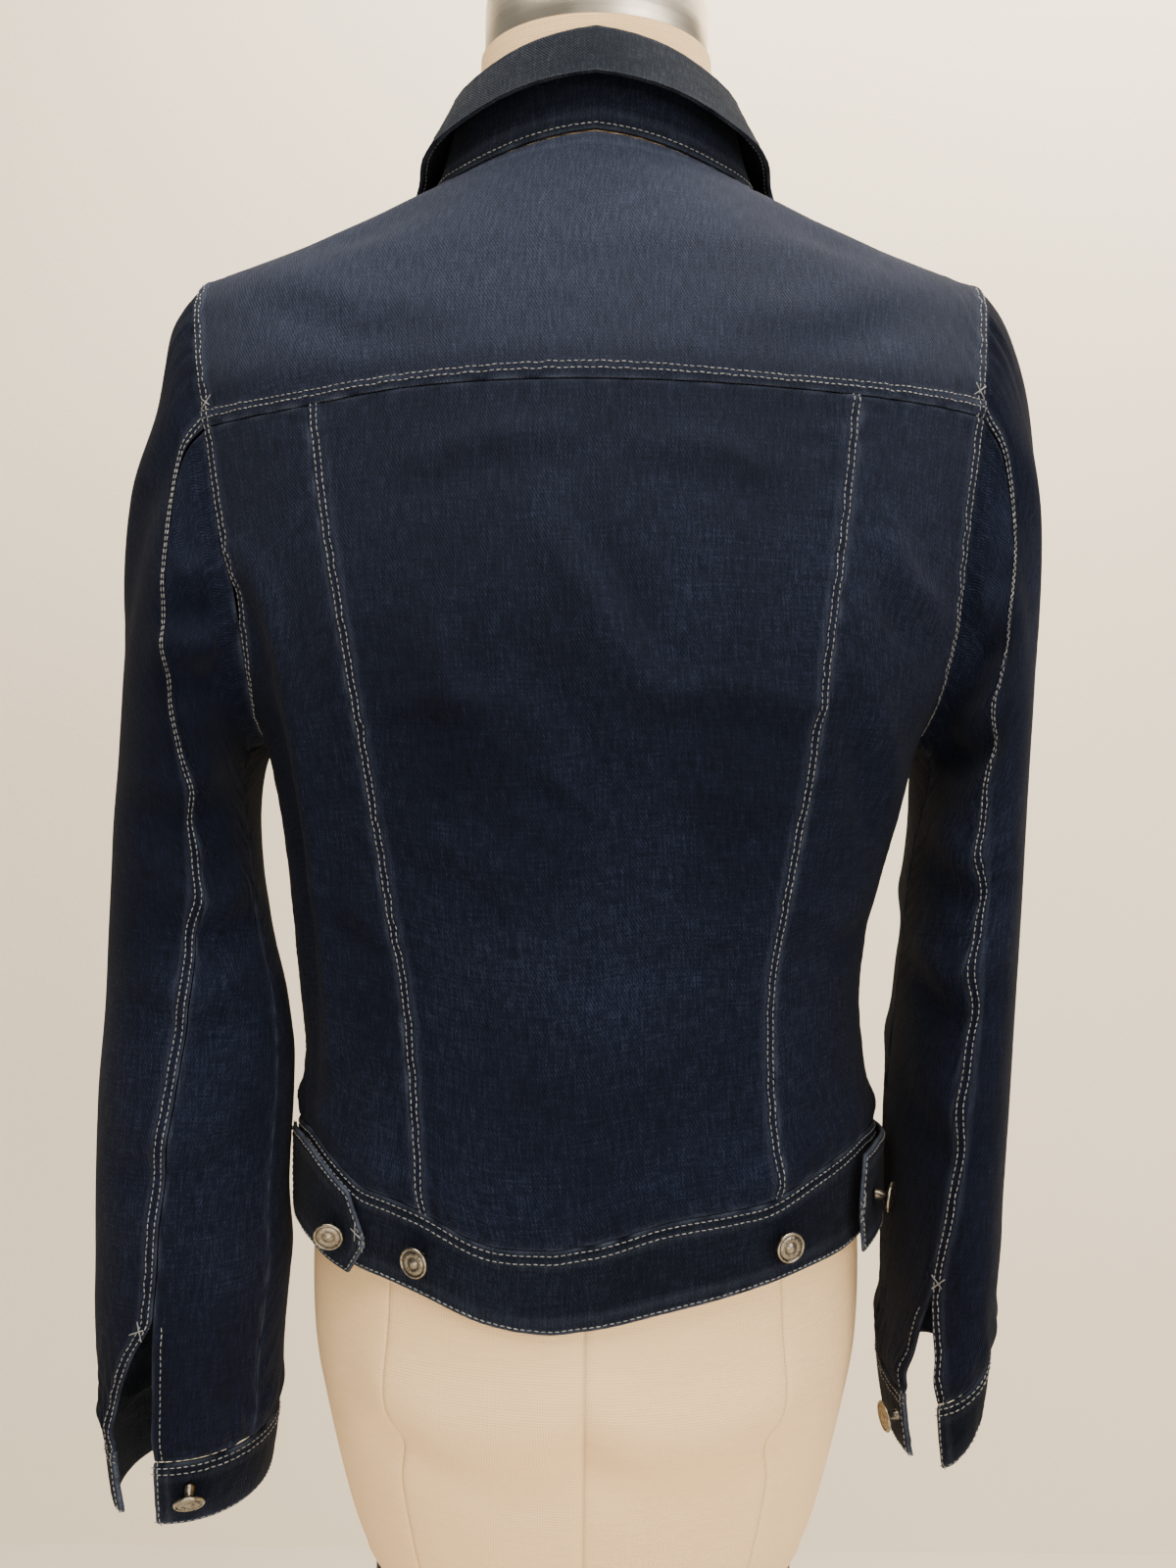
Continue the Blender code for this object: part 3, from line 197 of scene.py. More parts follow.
# Sleeve rings from the armhole to the cuff: the outer and inner points of each ring, its back and
# front, its squareness, how much of the armhole's own shape it keeps, the angles of the back seam
# and the under seam from the outer point, and how far each edge of the cuff slit has swung open.
SLEEVE_COLUMNS = (
    "outer_x", "outer_z", "inner_x", "inner_z", "back", "front", "square", "armhole",
    "back_seam", "under_seam", "slit_outer", "slit_under",
)
LEFT_SLEEVE = (
    (20.40, 129.60, 17.25, 105.30, 6.30, -6.60, 2.0, 1.00, 76, 180, 0, 0),
    (21.50, 127.70, 18.00, 104.95, 6.75, -7.00, 2.0, 0.85, 79, 179, 0, 0),
    (22.10, 123.90, 18.30, 104.40, 7.10, -7.10, 2.0, 0.60, 84, 178, 0, 0),
    (23.10, 119.40, 18.40, 103.40, 7.20, -6.90, 2.0, 0.36, 96, 177, 0, 0),
    (23.75, 114.60, 18.30, 102.20, 7.00, -6.30, 2.0, 0.18, 107, 176, 0, 0),
    (24.05, 109.60, 18.00, 100.80, 6.80, -5.30, 2.0, 0.06, 118, 175, 0, 0),
    (24.20, 104.80, 17.60, 98.80, 6.70, -4.20, 2.1, 0.00, 122, 173, 0, 0),
    (24.40, 100.30, 17.10, 96.50, 6.80, -3.20, 2.1, 0.00, 120, 170, 0, 0),
    (24.40, 96.20, 16.45, 94.60, 7.10, -2.40, 2.1, 0.00, 112, 166, 0, 0),
    (24.40, 91.90, 15.50, 91.40, 7.70, -1.80, 2.0, 0.00, 102, 162, 0, 0),
    (24.50, 87.40, 15.05, 87.20, 8.30, -1.20, 2.0, 0.00, 94, 158, 0, 0),
    (24.50, 82.50, 15.20, 82.50, 8.50, -1.00, 2.0, 0.00, 89, 155, 0, 0),
    (24.50, 79.40, 15.05, 79.40, 8.30, -1.10, 2.1, 0.00, 86, 153, 0, 0),
    (24.50, 77.80, 15.15, 77.80, 8.30, -1.00, 2.1, 0.00, 85, 152, 0, 0),
    (24.40, 75.50, 15.35, 75.50, 8.30, -0.90, 2.1, 0.00, 85, 151, 14, 0),
    (24.15, 73.00, 15.50, 73.10, 8.20, -0.80, 2.1, 0.00, 84, 150, 27, 0),
    (23.80, 70.80, 15.75, 71.00, 8.10, -0.70, 2.1, 0.00, 83, 149, 34, 1),
)
RIGHT_SLEEVE = (
    (20.40, 129.60, 17.25, 105.30, 6.30, -6.60, 2.0, 1.00, 76, 180, 0, 0),
    (21.50, 127.70, 18.00, 104.95, 6.70, -7.00, 2.0, 0.85, 78, 180, 0, 0),
    (22.40, 124.20, 18.30, 104.40, 6.95, -7.10, 2.0, 0.60, 88, 180, 0, 0),
    (22.70, 119.40, 18.30, 103.50, 7.10, -7.00, 2.0, 0.36, 107, 181, 0, 0),
    (22.65, 114.60, 18.15, 102.40, 7.30, -6.70, 2.0, 0.18, 116, 183, 0, 0),
    (22.50, 109.60, 17.80, 101.20, 7.50, -6.20, 2.1, 0.06, 119, 185, 0, 0),
    (22.20, 105.00, 17.40, 99.60, 7.70, -5.60, 2.1, 0.00, 117, 187, 0, 0),
    (21.90, 101.00, 17.05, 97.60, 8.00, -5.00, 2.1, 0.00, 115, 189, 0, 0),
    (21.60, 97.00, 16.75, 95.20, 8.30, -4.50, 2.1, 0.00, 115, 191, 0, 0),
    (21.20, 92.40, 16.30, 91.80, 8.70, -3.90, 2.1, 0.00, 114, 193, 0, 0),
    (20.85, 87.60, 15.80, 87.60, 9.00, -3.40, 2.1, 0.00, 115, 195, 0, 0),
    (20.50, 83.40, 15.60, 83.40, 9.20, -3.10, 2.1, 0.00, 120, 197, 0, 0),
    (20.40, 81.60, 15.55, 81.00, 9.30, -2.90, 2.1, 0.00, 127, 198, 0, 0),
    (20.30, 80.50, 15.50, 79.20, 9.30, -2.80, 2.1, 0.00, 130, 199, 0, 0),
    (20.15, 79.30, 15.50, 77.10, 9.30, -2.70, 2.1, 0.00, 131, 200, 2, 10),
    (20.00, 78.10, 15.45, 75.00, 9.20, -2.60, 2.1, 0.00, 129, 200, 6, 20),
    (19.80, 76.90, 15.40, 73.20, 9.10, -2.50, 2.1, 0.00, 127, 200, 8, 27),
)
SIDES = (("left", 1, LEFT_SLEEVE), ("right", -1, RIGHT_SLEEVE))
CUFF_HEIGHT = 0.031
CUFF_TURN_IN = 0.004  # of its hem

# Waistband tabs by u: where the tab's point, shoulders and sewn end lie, and how far the end lifts
# in metres.
TABS = {"left": (0.430, 0.487, 0.90, 0.0022), "right": (-0.585, -0.625, -1.14, 0.0065)}
TAB_TOP_BELOW_BAND = 0.0035
TAB_BELOW_HEM = 0.0025
TAB_CLEAR = 0.0008  # under the tab
TAB_THICKNESS = 0.0020
TAB_POINT_WIDTH = 0.004

# Buttons on the waistband and its tabs: u, height and clearance of the foot in metres, and the
# droop as sideways and downward shares of the outward direction.
BAND_BUTTONS = (
    ("button_tab_left", 0.535, 0.8200, TAB_CLEAR + TAB_THICKNESS + 0.0016, -0.80, -0.40),
    ("button_spare_left", 0.292, 0.8145, 0.0, 0.12, -0.10),
    ("button_tab_right", -0.665, 0.8320, TAB_CLEAR + TAB_THICKNESS + 0.0050, -0.20, -0.12),
    ("button_spare_right", -0.372, 0.8205, 0.0, 0.06, -0.10),
)
CUFF_BUTTONS = {"left": (106.0, -0.85), "right": (158.0, -0.1)}  # the angle on the ring, and the droop
CUFF_BUTTON_DOWN = 0.0115  # from the cuff's seam
FRONT_BUTTON_DROOP = -0.2
# Horizontal sections of the dress form.
FORM_COLUMNS = ("height", "half_width", "back", "front")
FORM = (
    (63.2, 10.95, 8.00, 7.20),
    (63.45, 11.30, 8.40, 7.60),
    (64.4, 11.70, 8.90, 8.10),
    (65.8, 12.20, 9.35, 8.60),
    (68.0, 12.80, 9.85, 9.00),
    (71.5, 13.60, 10.45, 9.30),
    (74.5, 14.15, 10.90, 9.35),
    (78.5, 14.35, 10.40, 9.20),
    (82.0, 14.20, 10.10, 9.00),
    (86.0, 13.90, 9.60, 8.80),
    (90.0, 13.10, 9.05, 8.70),
    (94.0, 13.20, 9.10, 9.30),
    (98.0, 14.00, 9.50, 10.50),
    (102.0, 14.90, 9.90, 11.60),
    (106.0, 15.50, 10.15, 12.00),
    (110.0, 15.90, 10.25, 11.80),
    (114.0, 16.50, 10.25, 11.10),
    (119.0, 17.30, 9.95, 9.60),
    (123.5, 18.00, 9.00, 8.20),
    (126.5, 18.30, 7.90, 7.20),
    (128.0, 17.80, 7.00, 6.60),
    (129.0, 16.70, 6.50, 6.30),
    (130.3, 14.20, 6.15, 6.00),
    (131.8, 10.80, 5.95, 5.70),
    (133.0, 8.20, 5.90, 5.40),
    (133.8, 7.00, 5.90, 5.20),
)
NECK_CENTRE = 0.013
NECK_TOP = 1.408
NECK_SIZES = (0.0605, 0.0450)  # half width and half depth
CAP_SIZES = (0.0585, 0.0435)
CAP_TOP = 1.442


def smooth(keys, values, at):
    """The value at each key, on a cubic through the table's rows that adds no bumps of its own."""
    keys, values = np.asarray(keys, float), np.asarray(values, float)
    at = np.asarray(at, float)
    step = np.diff(keys)
    slope = np.diff(values) / step
    tangent = np.concatenate([slope[:1], (slope[:-1] + slope[1:]) / 2, slope[-1:]])
    tangent[1:-1][slope[:-1] * slope[1:] <= 0] = 0
    index = np.clip(np.searchsorted(keys, at, side="right") - 1, 0, len(step) - 1)
    h = step[index]
    t = np.clip((at - keys[index]) / h, 0, 1)
    before, after = values[index], values[index + 1]
    return (
        before * (1 + 2 * t) * (1 - t) ** 2
        + after * t * t * (3 - 2 * t)
        + tangent[index] * h * t * (1 - t) ** 2
        - tangent[index + 1] * h * t * t * (1 - t)
    )


def column(table, names, name, at, scale=CM, key_scale=CM):
    """One column of a table, read at these values of its first column."""
    rows = np.array(table, float)
    return smooth(rows[:, 0] * key_scale, rows[:, names.index(name)] * scale, at)


def torso(name, z, scale=CM):
    """One measure of the jacket's section at this height."""
    return column(TORSO, TORSO_COLUMNS, name, z, scale)


def half_width(side, z):
    """How far out the side seam lies, on the left for a positive side and the right for a negative."""
    return np.where(np.asarray(side) > 0, torso("left", z), torso("right", z))


def body(u, z):
    """The point of the jacket's outside at u and height z."""
    u, z = np.broadcast_arrays(np.asarray(u, float), np.asarray(z, float))
    front = np.abs(u) > 1
    sine = np.abs(np.sin(u * math.pi / 2))
    cosine = np.abs(np.cos(u * math.pi / 2))
    p = np.where(front, torso("front_p", z, 1), torso("back_p", z, 1))
    q = np.where(front, torso("front_q", z, 1), torso("back_q", z, 1))
    depth = np.where(front, -torso("front", z), torso("back", z))
    x = np.sign(u) * half_width(u, z) * sine ** (2 / p)
    return np.stack([x, depth * cosine ** (2 * q), z], -1)


def unit(vectors):
    """The same directions, one long."""
    return vectors / np.linalg.norm(vectors, axis=-1, keepdims=True)


def body_normal(u, z):
    """Outward, from the differences around and up the body."""
    along = body(u + STEP_U, z) - body(u - STEP_U, z)
    up = body(u, z + STEP_UP) - body(u, z - STEP_UP)
    return unit(np.cross(up, along))


def u_at(x, z, front=False):
    """The u at which the section at height z has this x."""
    p = torso("front_p" if front else "back_p", z, 1)
    share = np.clip(np.abs(x) / half_width(x, z), 0, 1) ** (p / 2)
    u = np.arcsin(share) * 2 / math.pi
    return np.sign(x) * (2 - u if front else u)


def armhole(side, sign, turn):
    """u and height on the armhole seam. turn is 0 at the shoulder, pi at the underarm after the
    back, and runs on to 2 pi up the front."""
    turn = np.asarray(turn, float)
    middle = (SHOULDER_HEIGHT + UNDERARM_HEIGHT) / 2
    z = middle + (SHOULDER_HEIGHT - UNDERARM_HEIGHT) / 2 * np.cos(turn)
    back = u_at(sign * column(ARMHOLE, ARMHOLE_COLUMNS, side + "_back", z), z)
    front = u_at(sign * column(ARMHOLE, ARMHOLE_COLUMNS, side + "_front", z), z, front=True)
    u = np.where(turn <= math.pi, back, front)
    ends = np.isclose(np.cos(turn) ** 2, 1)
    return np.stack([np.where(ends, sign, u), z], -1)


def front_turns():
    """Steps up the front of the armhole, closer together at the underarm where it curves most."""
    return math.pi + math.pi * np.linspace(0, 1, ARMHOLE_FRONT_ROWS + 1) ** 1.25


def yoke_corner(side, sign):
    """How far round the armhole the yoke's seam meets it."""
    turns = np.linspace(0, math.pi, 721)
    points = armhole(side, sign, turns)
    x = body(points[:, 0], points[:, 1])[:, 0]
    seam = column(YOKE_SEAM, YOKE_SEAM_COLUMNS, "height", x)
    return turns[np.argmin(np.abs(points[:, 1] - seam))]


def yoke_seam(x):
    """u and height on the yoke's lower seam."""
    z = column(YOKE_SEAM, YOKE_SEAM_COLUMNS, "height", x)
    return np.stack([u_at(x, z), z], -1)


def band_height(u, name):
    """Height of the waistband's top or hem."""
    return column(BAND, BAND_COLUMNS, name, u, key_scale=1)


def princess(side, sign):
    """The long back seam from the yoke to the band, in as many steps as the side back's outer edge."""
    across = PRINCESS_COLUMNS.index(side)
    top = yoke_seam(sign * PRINCESS[-1][across] * CM)[1]
    bottom = PRINCESS[0][0] * CM
    for _ in range(PRINCESS_STEPS):
        foot = u_at(sign * column(PRINCESS, PRINCESS_COLUMNS, side, bottom), bottom)
        bottom = float(band_height(foot, "top"))
    upper = np.linspace(top, UNDERARM_HEIGHT + 0.01, ARMHOLE_BACK_ROWS + 1)[:-1]
    z = np.concatenate([upper, np.linspace(UNDERARM_HEIGHT + 0.01, bottom, SIDE_ROWS + 1)])
    return np.stack([u_at(sign * column(PRINCESS, PRINCESS_COLUMNS, side, z), z), z], -1)


def side_seam(sign):
    """From the underarm down to the waistband."""
    z = np.linspace(UNDERARM_HEIGHT, float(band_height(sign, "top")), SIDE_ROWS + 1)
    return np.stack([np.full(len(z), float(sign)), z], -1)


def band_top(start, end, columns):
    """A stretch of the waistband's upper seam."""
    u = np.linspace(start, end, columns + 1)
    return np.stack([u, band_height(u, "top")], -1)


def shoulder_seam(sign):
    """From the outer end of the shoulder to the neck, on the ridge."""
    z = np.linspace(SHOULDER_HEIGHT, NECK_HEIGHT, SHOULDER_COLUMNS + 1)
    return np.stack([np.full(len(z), float(sign)), z], -1)


def front_edge_heights():
    """Heights of the fronts' rows at the placket: beside the shoulder, the armhole and the side."""
    neck = float(neckline(FRONT_EDGE)[1])
    rows = SHOULDER_COLUMNS + ARMHOLE_FRONT_ROWS
    beside_shoulder = (neck - UNDERARM_HEIGHT) * SHOULDER_COLUMNS / rows
    return join(
        np.linspace(neck, neck - beside_shoulder, SHOULDER_COLUMNS + 1),
        np.linspace(neck - beside_shoulder, UNDERARM_HEIGHT, ARMHOLE_FRONT_ROWS + 1),
        np.linspace(UNDERARM_HEIGHT, float(band_height(FRONT_EDGE, "top")), SIDE_ROWS + 1),
    )


def neckline(u):
    """u and height on the seam that the collar stands on."""
    return np.stack([u, column(COLLAR, COLLAR_COLUMNS, "neckline", np.abs(u), key_scale=1)], -1)


def patch(top, bottom, first, last):
    """A grid of u and height between four edges. Rows run from top to bottom, columns from first
    to last."""
    s = np.linspace(0, 1, len(top))[None, :, None]
    t = np.linspace(0, 1, len(first))[:, None, None]
    between = (1 - t) * top[None] + t * bottom[None] + (1 - s) * first[:, None] + s * last[:, None]
    upper = (1 - s) * top[0] + s * top[-1]
    lower = (1 - s) * bottom[0] + s * bottom[-1]
    return between - (1 - t) * upper - t * lower


def front_patch(sign, *edges):
    """A patch of the front, worked out on x as a share of the widest section so far, which keeps
    its rows inside the shoulder's end."""
    def widest(z):
        return half_width(sign, np.minimum(z, WIDEST_HEIGHT))

    def spread(edge):
        x = np.abs(body(edge[:, 0], edge[:, 1])[:, 0])
        share = np.clip(x / widest(edge[:, 1]), 0, 1) ** (FRONT_SPREAD / 2)
        return np.stack([np.arcsin(share), edge[:, 1]], -1)

    grid = patch(*(spread(edge) for edge in edges))
    z = grid[..., 1]
    x = sign * widest(z) * np.sin(grid[..., 0]) ** (2 / FRONT_SPREAD)
    return np.stack([u_at(x, z, front=True), z], -1)


def join(*stretches):
    """Edges joined end to end, each shared point once."""
    return np.concatenate([stretches[0]] + [stretch[1:] for stretch in stretches[1:]])


def draw_back(points, amount, edges="nesw"):
    """Moves a grid's edges in, square to themselves, which leaves the gap at a seam."""
    points = points.copy()
    for name, axis, edge, inner in (("n", 0, 0, 1), ("s", 0, -1, -2), ("w", 1, 0, 1), ("e", 1, -1, -2)):
        if name in edges:
            lines = np.moveaxis(points, axis, 0)
            along = unit(np.gradient(lines[edge], axis=0))
            inward = lines[inner] - lines[edge]
            inward -= along * (inward * along).sum(-1, keepdims=True)
            lines[edge] += unit(inward) * amount
    return points


def sleeve_point(side, sign, table, row, angle):
    """A point of the sleeve's outside: row counts the table's rings, angle is in degrees from the
    ring's outer point over its back."""
    row, angle = np.broadcast_arrays(np.asarray(row, float), np.asarray(angle, float))
    rows = np.array(table, float)
    keys = np.arange(len(rows))

    def size(name, at=row, scale=CM):
        return smooth(keys, rows[:, SLEEVE_COLUMNS.index(name)] * scale, at)

    def ellipse(at):
        square = size("square", at, 1)
        turn = np.radians(angle)
        across = np.sign(np.cos(turn)) * np.abs(np.cos(turn)) ** (2 / square)
        deep = np.sign(np.sin(turn)) * np.abs(np.sin(turn)) ** (2 / square)
        x = (size("outer_x", at) * (1 + across) + size("inner_x", at) * (1 - across)) / 2
        z = (size("outer_z", at) * (1 + across) + size("inner_z", at) * (1 - across)) / 2
        y = (size("back", at) * (1 + deep) + size("front", at) * (1 - deep)) / 2
        return np.stack([sign * x, y, z], -1)

    hole = armhole(side, sign, np.radians(angle % 360))
    own_shape = body(hole[..., 0], hole[..., 1]) - ellipse(np.zeros(row.shape))
    return ellipse(row) + own_shape * size("armhole", scale=1)[..., None]


def sleeve_normal(side, sign, table, row, angle):
    """Outward, from the differences along and around the sleeve."""
    last = len(table) - 1
    lower, upper = np.clip(row + STEP_ROW, 0, last), np.clip(row - STEP_ROW, 0, last)

    def point(at_row, at_angle):
        return sleeve_point(side, sign, table, at_row, at_angle)

    down = point(lower, angle) - point(upper, angle)
    around = point(row, angle + STEP_ANGLE) - point(row, angle - STEP_ANGLE)
    return unit(np.cross(down, around)) * sign


def sleeve_angles(side, sign, table, rows, stretch):
    """The angles of a piece's columns at these rings, for the upper or the under sleeve."""
    keys, numbers = np.arange(len(table)), np.array(table, float)

    def at(name):
        values = numbers[:, SLEEVE_COLUMNS.index(name)].copy()
        if name == "back_seam":
            values[0] = math.degrees(yoke_corner(side, sign))
        return smooth(keys, values, rows)[:, None]

    if stretch == "upper":
        back = at("back_seam") - at("slit_outer")
        back = back * np.linspace(1, 0, YOKE_ROWS + 1)
        share = (np.degrees(front_turns()[::-1]) - 180) / 180
        front = (at("under_seam") - 360) * (1 - share)
        return np.concatenate([back, front[:, 1:]], 1)
    start, end = at("back_seam") + at("slit_under"), at("under_seam")
    return start + (end - start) * np.linspace(0, 1, ARMHOLE_BACK_ROWS + 1)


def collar_size(name, u):
    """One measure of the collar, the same on both sides."""
    return column(COLLAR, COLLAR_COLUMNS, name, np.abs(u), key_scale=1)


def collar_profile(u):
    """Points up the stand, over the fold and down the fall, at the middle of the collar's cloth."""
    base = body(u, float(collar_size("neckline", u)))
    outward = unit(body_normal(u, float(collar_size("neckline", u))) * (1, 1, 0))
    up = np.array([0, 0, 1])
    foot = base - outward * (DENIM / 2) + up * (FOLDED / 2)
    rise, lean, drop, flare = (float(collar_size(name, u)) for name in COLLAR_COLUMNS[2:])
    fold_foot = foot + up * (rise - COLLAR_FOLD) - outward * lean
    fall_top = fold_foot + outward * 2 * COLLAR_FOLD
    edge = fall_top + outward * flare - up * (drop - COLLAR_FOLD)
    points = [foot + (fold_foot - foot) * i / COLLAR_STAND_ROWS for i in range(COLLAR_STAND_ROWS + 1)]
    for i in range(1, COLLAR_FOLD_ROWS + 1):
        turn = math.pi * i / COLLAR_FOLD_ROWS
        around = outward * (1 - math.cos(turn)) + up * math.sin(turn)
        points.append(fold_foot + around * COLLAR_FOLD)
    for i in range(1, COLLAR_FALL_ROWS + 1):
        points.append(fall_top + (edge - fall_top) * i / COLLAR_FALL_ROWS)
    return np.array(points)


def tab_grid(side):
    """u and height of the tab's own grid: a strip with a pointed end."""
    point, shoulders, sewn_end, _ = TABS[side]
    u = np.concatenate([[point], np.linspace(shoulders, sewn_end, TAB_COLUMNS_ALONG)])
    grid = []
    for share in (0, 0.5, 1):
        top = band_height(u, "top") - TAB_TOP_BELOW_BAND
        bottom = band_height(u, "hem") - TAB_BELOW_HEM * np.linspace(1, -0.6, len(u))
        z = top + (bottom - top) * share
        z[0] = (top[0] + bottom[0]) / 2 + (0.5 - share) * TAB_POINT_WIDTH
        grid.append(np.stack([u, z], -1))
    return np.array(grid)


# ---------------------------------------------------------------- cloth as grids of fine points

SHARP_EDGE = 60  # degrees
EDGE_LINES = (0.22, 0.5, 0.75)  # extra lines between the first two of a grid, for its rolled edge


def crowd(grid):
    """Adds lines close to all four edges of a grid."""
    for axis in (0, 1):
        lines = np.moveaxis(grid, axis, 0)
        first = [lines[0] + (lines[1] - lines[0]) * share for share in EDGE_LINES]
        last = [lines[-1] + (lines[-2] - lines[-1]) * share for share in EDGE_LINES[::-1]]
        lines = np.concatenate([lines[:1], first, lines[1:-1], last, lines[-1:]])
        grid = np.moveaxis(lines, 0, axis)
    return grid


def lengths(points, axis):
    """Distance along the grid's lines from the first point of each."""
    steps = np.linalg.norm(np.diff(points, axis=axis), axis=-1)
    zero = np.zeros_like(np.take(steps, [0], axis))
    return np.concatenate([zero, np.cumsum(steps, axis)], axis)


def edge_distances(points):
    """Distance of each point from the grid's n, s, w and e edges, along its lines."""
    down, across = lengths(points, 0), lengths(points, 1)
    return {"n": down, "s": down[-1:] - down, "w": across, "e": across[:, -1:] - across}


def grid_normal(points):
    """Directions square to a grid of points."""
    normal = np.cross(np.gradient(points, axis=0), np.gradient(points, axis=1))
    return normal / np.maximum(np.linalg.norm(normal, axis=-1, keepdims=True), 1e-12)


WAVE_SPREAD = 0.45  # of the lengths that make up an uneven wave


def waves(at, length, seed):
    """An uneven wave along a line: sines of about this length with their own phases and swells."""
    draw = np.random.default_rng(seed)
    total = np.zeros_like(at)
    for _ in range(5):
        wave = length * (1 + WAVE_SPREAD * draw.uniform(-1, 1))
        swell = 0.6 + 0.4 * np.sin(at / (length * draw.uniform(3, 7)) + draw.uniform(0, 6.28))
        total += swell * np.sin(2 * math.pi * at / wave + draw.uniform(0, 6.28))
    return total / 2.4


def to_line(x, z, line):
    """Distance of each point from a polyline in the x, z plane, and how far along it lies (0 to 1)."""
    line = np.asarray(line, float) * CM
    best, along = np.full(x.shape, 1e9), np.zeros(x.shape)
    total = np.linalg.norm(np.diff(line, axis=0), axis=1)
    done = 0.0
    for a, b, size in zip(line, line[1:], total):
        step = b - a
        t = np.clip(((x - a[0]) * step[0] + (z - a[1]) * step[1]) / size**2, 0, 1)
        gap = np.hypot(x - a[0] - t * step[0], z - a[1] - t * step[1])
        near = gap < best
        best = np.where(near, gap, best)
        along = np.where(near, (done + t * size) / total.sum(), along)
        done += size
    return best, along


FOLD_DEPTH = 2.2  # of every fold against its tabled height


def folds(x, z, table):
    """Soft ridges and troughs along the given lines: each fades toward its ends."""
    total = np.zeros(x.shape)
    for depth, width, line in table:
        gap, along = to_line(x, z, line)
        fade = np.sin(np.clip(along * 0.92 + 0.04, 0, 1) * math.pi) ** 0.6
        total += FOLD_DEPTH * depth * MM * fade * np.exp(-((gap / (width * CM)) ** 2))
    return total


def smoothstep(x, low, high):
    """0 below the range, 1 above it, and a soft rise between."""
    t = np.clip((x - low) / (high - low), 0, 1)
    return t * t * (3 - 2 * t)


# Creases of the back, seen from behind: height in millimetres (ridge plus, trough minus), width in
# centimetres, and the line as x and z in centimetres.
BACK_FOLDS = (
    (2.6, 1.1, ((6.85, 110.8), (6.3, 107.45), (2.9, 105.1), (1.2, 102.8))),
    (-2.4, 0.9, ((5.9, 110.0), (4.9, 107.2), (2.2, 104.1), (0.6, 101.8))),
    (-2.6, 1.3, ((4.5, 109.8), (1.0, 106.6), (-1.2, 101.9), (-2.0, 100.3))),
    (2.2, 1.2, ((2.2, 115.5), (1.0, 112.8), (-2.6, 107.5), (-4.4, 105.7))),
    (-1.6, 1.0, ((0.4, 115.0), (-1.2, 111.8), (-4.0, 108.4))),
    (1.0, 0.7, ((10.2, 106.6), (3.6, 106.7))),
    (-0.9, 0.6, ((10.0, 105.6), (3.8, 105.8))),
    (1.5, 0.45, ((2.9, 103.9), (1.0, 102.5), (-0.4, 101.9))),
    (-1.5, 0.45, ((2.9, 103.2), (1.0, 101.8))),
    (1.7, 0.8, ((-2.3, 107.1), (-6.0, 107.3), (-11.2, 106.6))),
    (-1.6, 0.8, ((-2.6, 105.7), (-6.2, 106.0), (-10.8, 105.4))),
    (1.2, 0.9, ((-4.0, 103.0), (-7.5, 102.2), (-10.0, 102.6))),
    (-1.3, 0.9, ((-3.0, 101.2), (-6.5, 100.6), (-9.4, 101.2))),
    (1.4, 0.9, ((8.8, 100.8), (6.0, 100.0), (3.4, 98.2))),
    (-1.4, 0.9, ((9.0, 99.2), (6.2, 98.4), (3.8, 96.8))),
    (0.9, 0.8, ((-8.4, 96.8), (-5.2, 96.0), (-2.2, 96.4))),
    (-0.9, 0.8, ((-8.2, 95.4), (-5.0, 94.6), (-2.0, 95.2))),
    (2.6, 3.6, ((0.0, 94.0), (-0.4, 90.6), (-0.2, 87.6))),
    (-1.0, 2.2, ((5.2, 94.5), (5.8, 90.0), (5.4, 86.6))),
    (-1.0, 2.2, ((-5.0, 93.8), (-5.6, 89.6), (-5.2, 86.2))),
    (1.0, 0.8, ((8.8, 117.4), (4.6, 118.6), (0.8, 118.8))),
    (-0.9, 0.8, ((8.8, 116.2), (4.8, 117.3), (1.2, 117.6))),
    (0.9, 0.8, ((-8.9, 117.2), (-5.0, 118.2), (-1.4, 118.4))),
    (-0.9, 0.8, ((-8.8, 115.8), (-5.2, 116.8), (-1.8, 117.1))),
)
SIDE_BACK_FOLDS = {
    "left": (
        (2.6, 0.8, ((14.9, 109.9), (14.1, 104.9), (13.3, 100.1), (12.6, 93.4), (12.6, 87.2))),
        (-3.2, 1.0, ((16.4, 109.4), (15.5, 104.9), (14.7, 100.1), (14.0, 93.4), (13.9, 87.2))),
        (1.6, 0.8, ((17.2, 114.6), (15.6, 112.2), (14.6, 109.0))),
        (-1.6, 0.8, ((18.0, 112.8), (16.4, 110.8), (15.6, 107.8))),
        (1.0, 0.7, ((13.0, 98.0), (10.9, 97.0), (9.9, 95.2))),
        (-1.0, 0.7, ((12.8, 96.4), (10.8, 95.5), (9.8, 94.0))),
    ),
    "right": (
        (2.0, 0.8, ((-13.7, 114.6), (-14.9, 112.4), (-17.2, 111.1))),
        (-2.2, 0.8, ((-13.2, 112.8), (-14.6, 110.6), (-17.0, 109.3))),
        (1.8, 1.0, ((-12.6, 108.4), (-14.2, 105.0), (-15.0, 101.6))),
        (-1.8, 1.0, ((-11.6, 107.0), (-13.0, 103.6), (-13.8, 100.0))),
        (1.3, 0.8, ((-9.8, 97.2), (-12.2, 96.6), (-14.0, 97.6))),
        (-1.3, 0.8, ((-9.6, 95.6), (-12.0, 95.0), (-14.0, 95.8))),
    ),
}
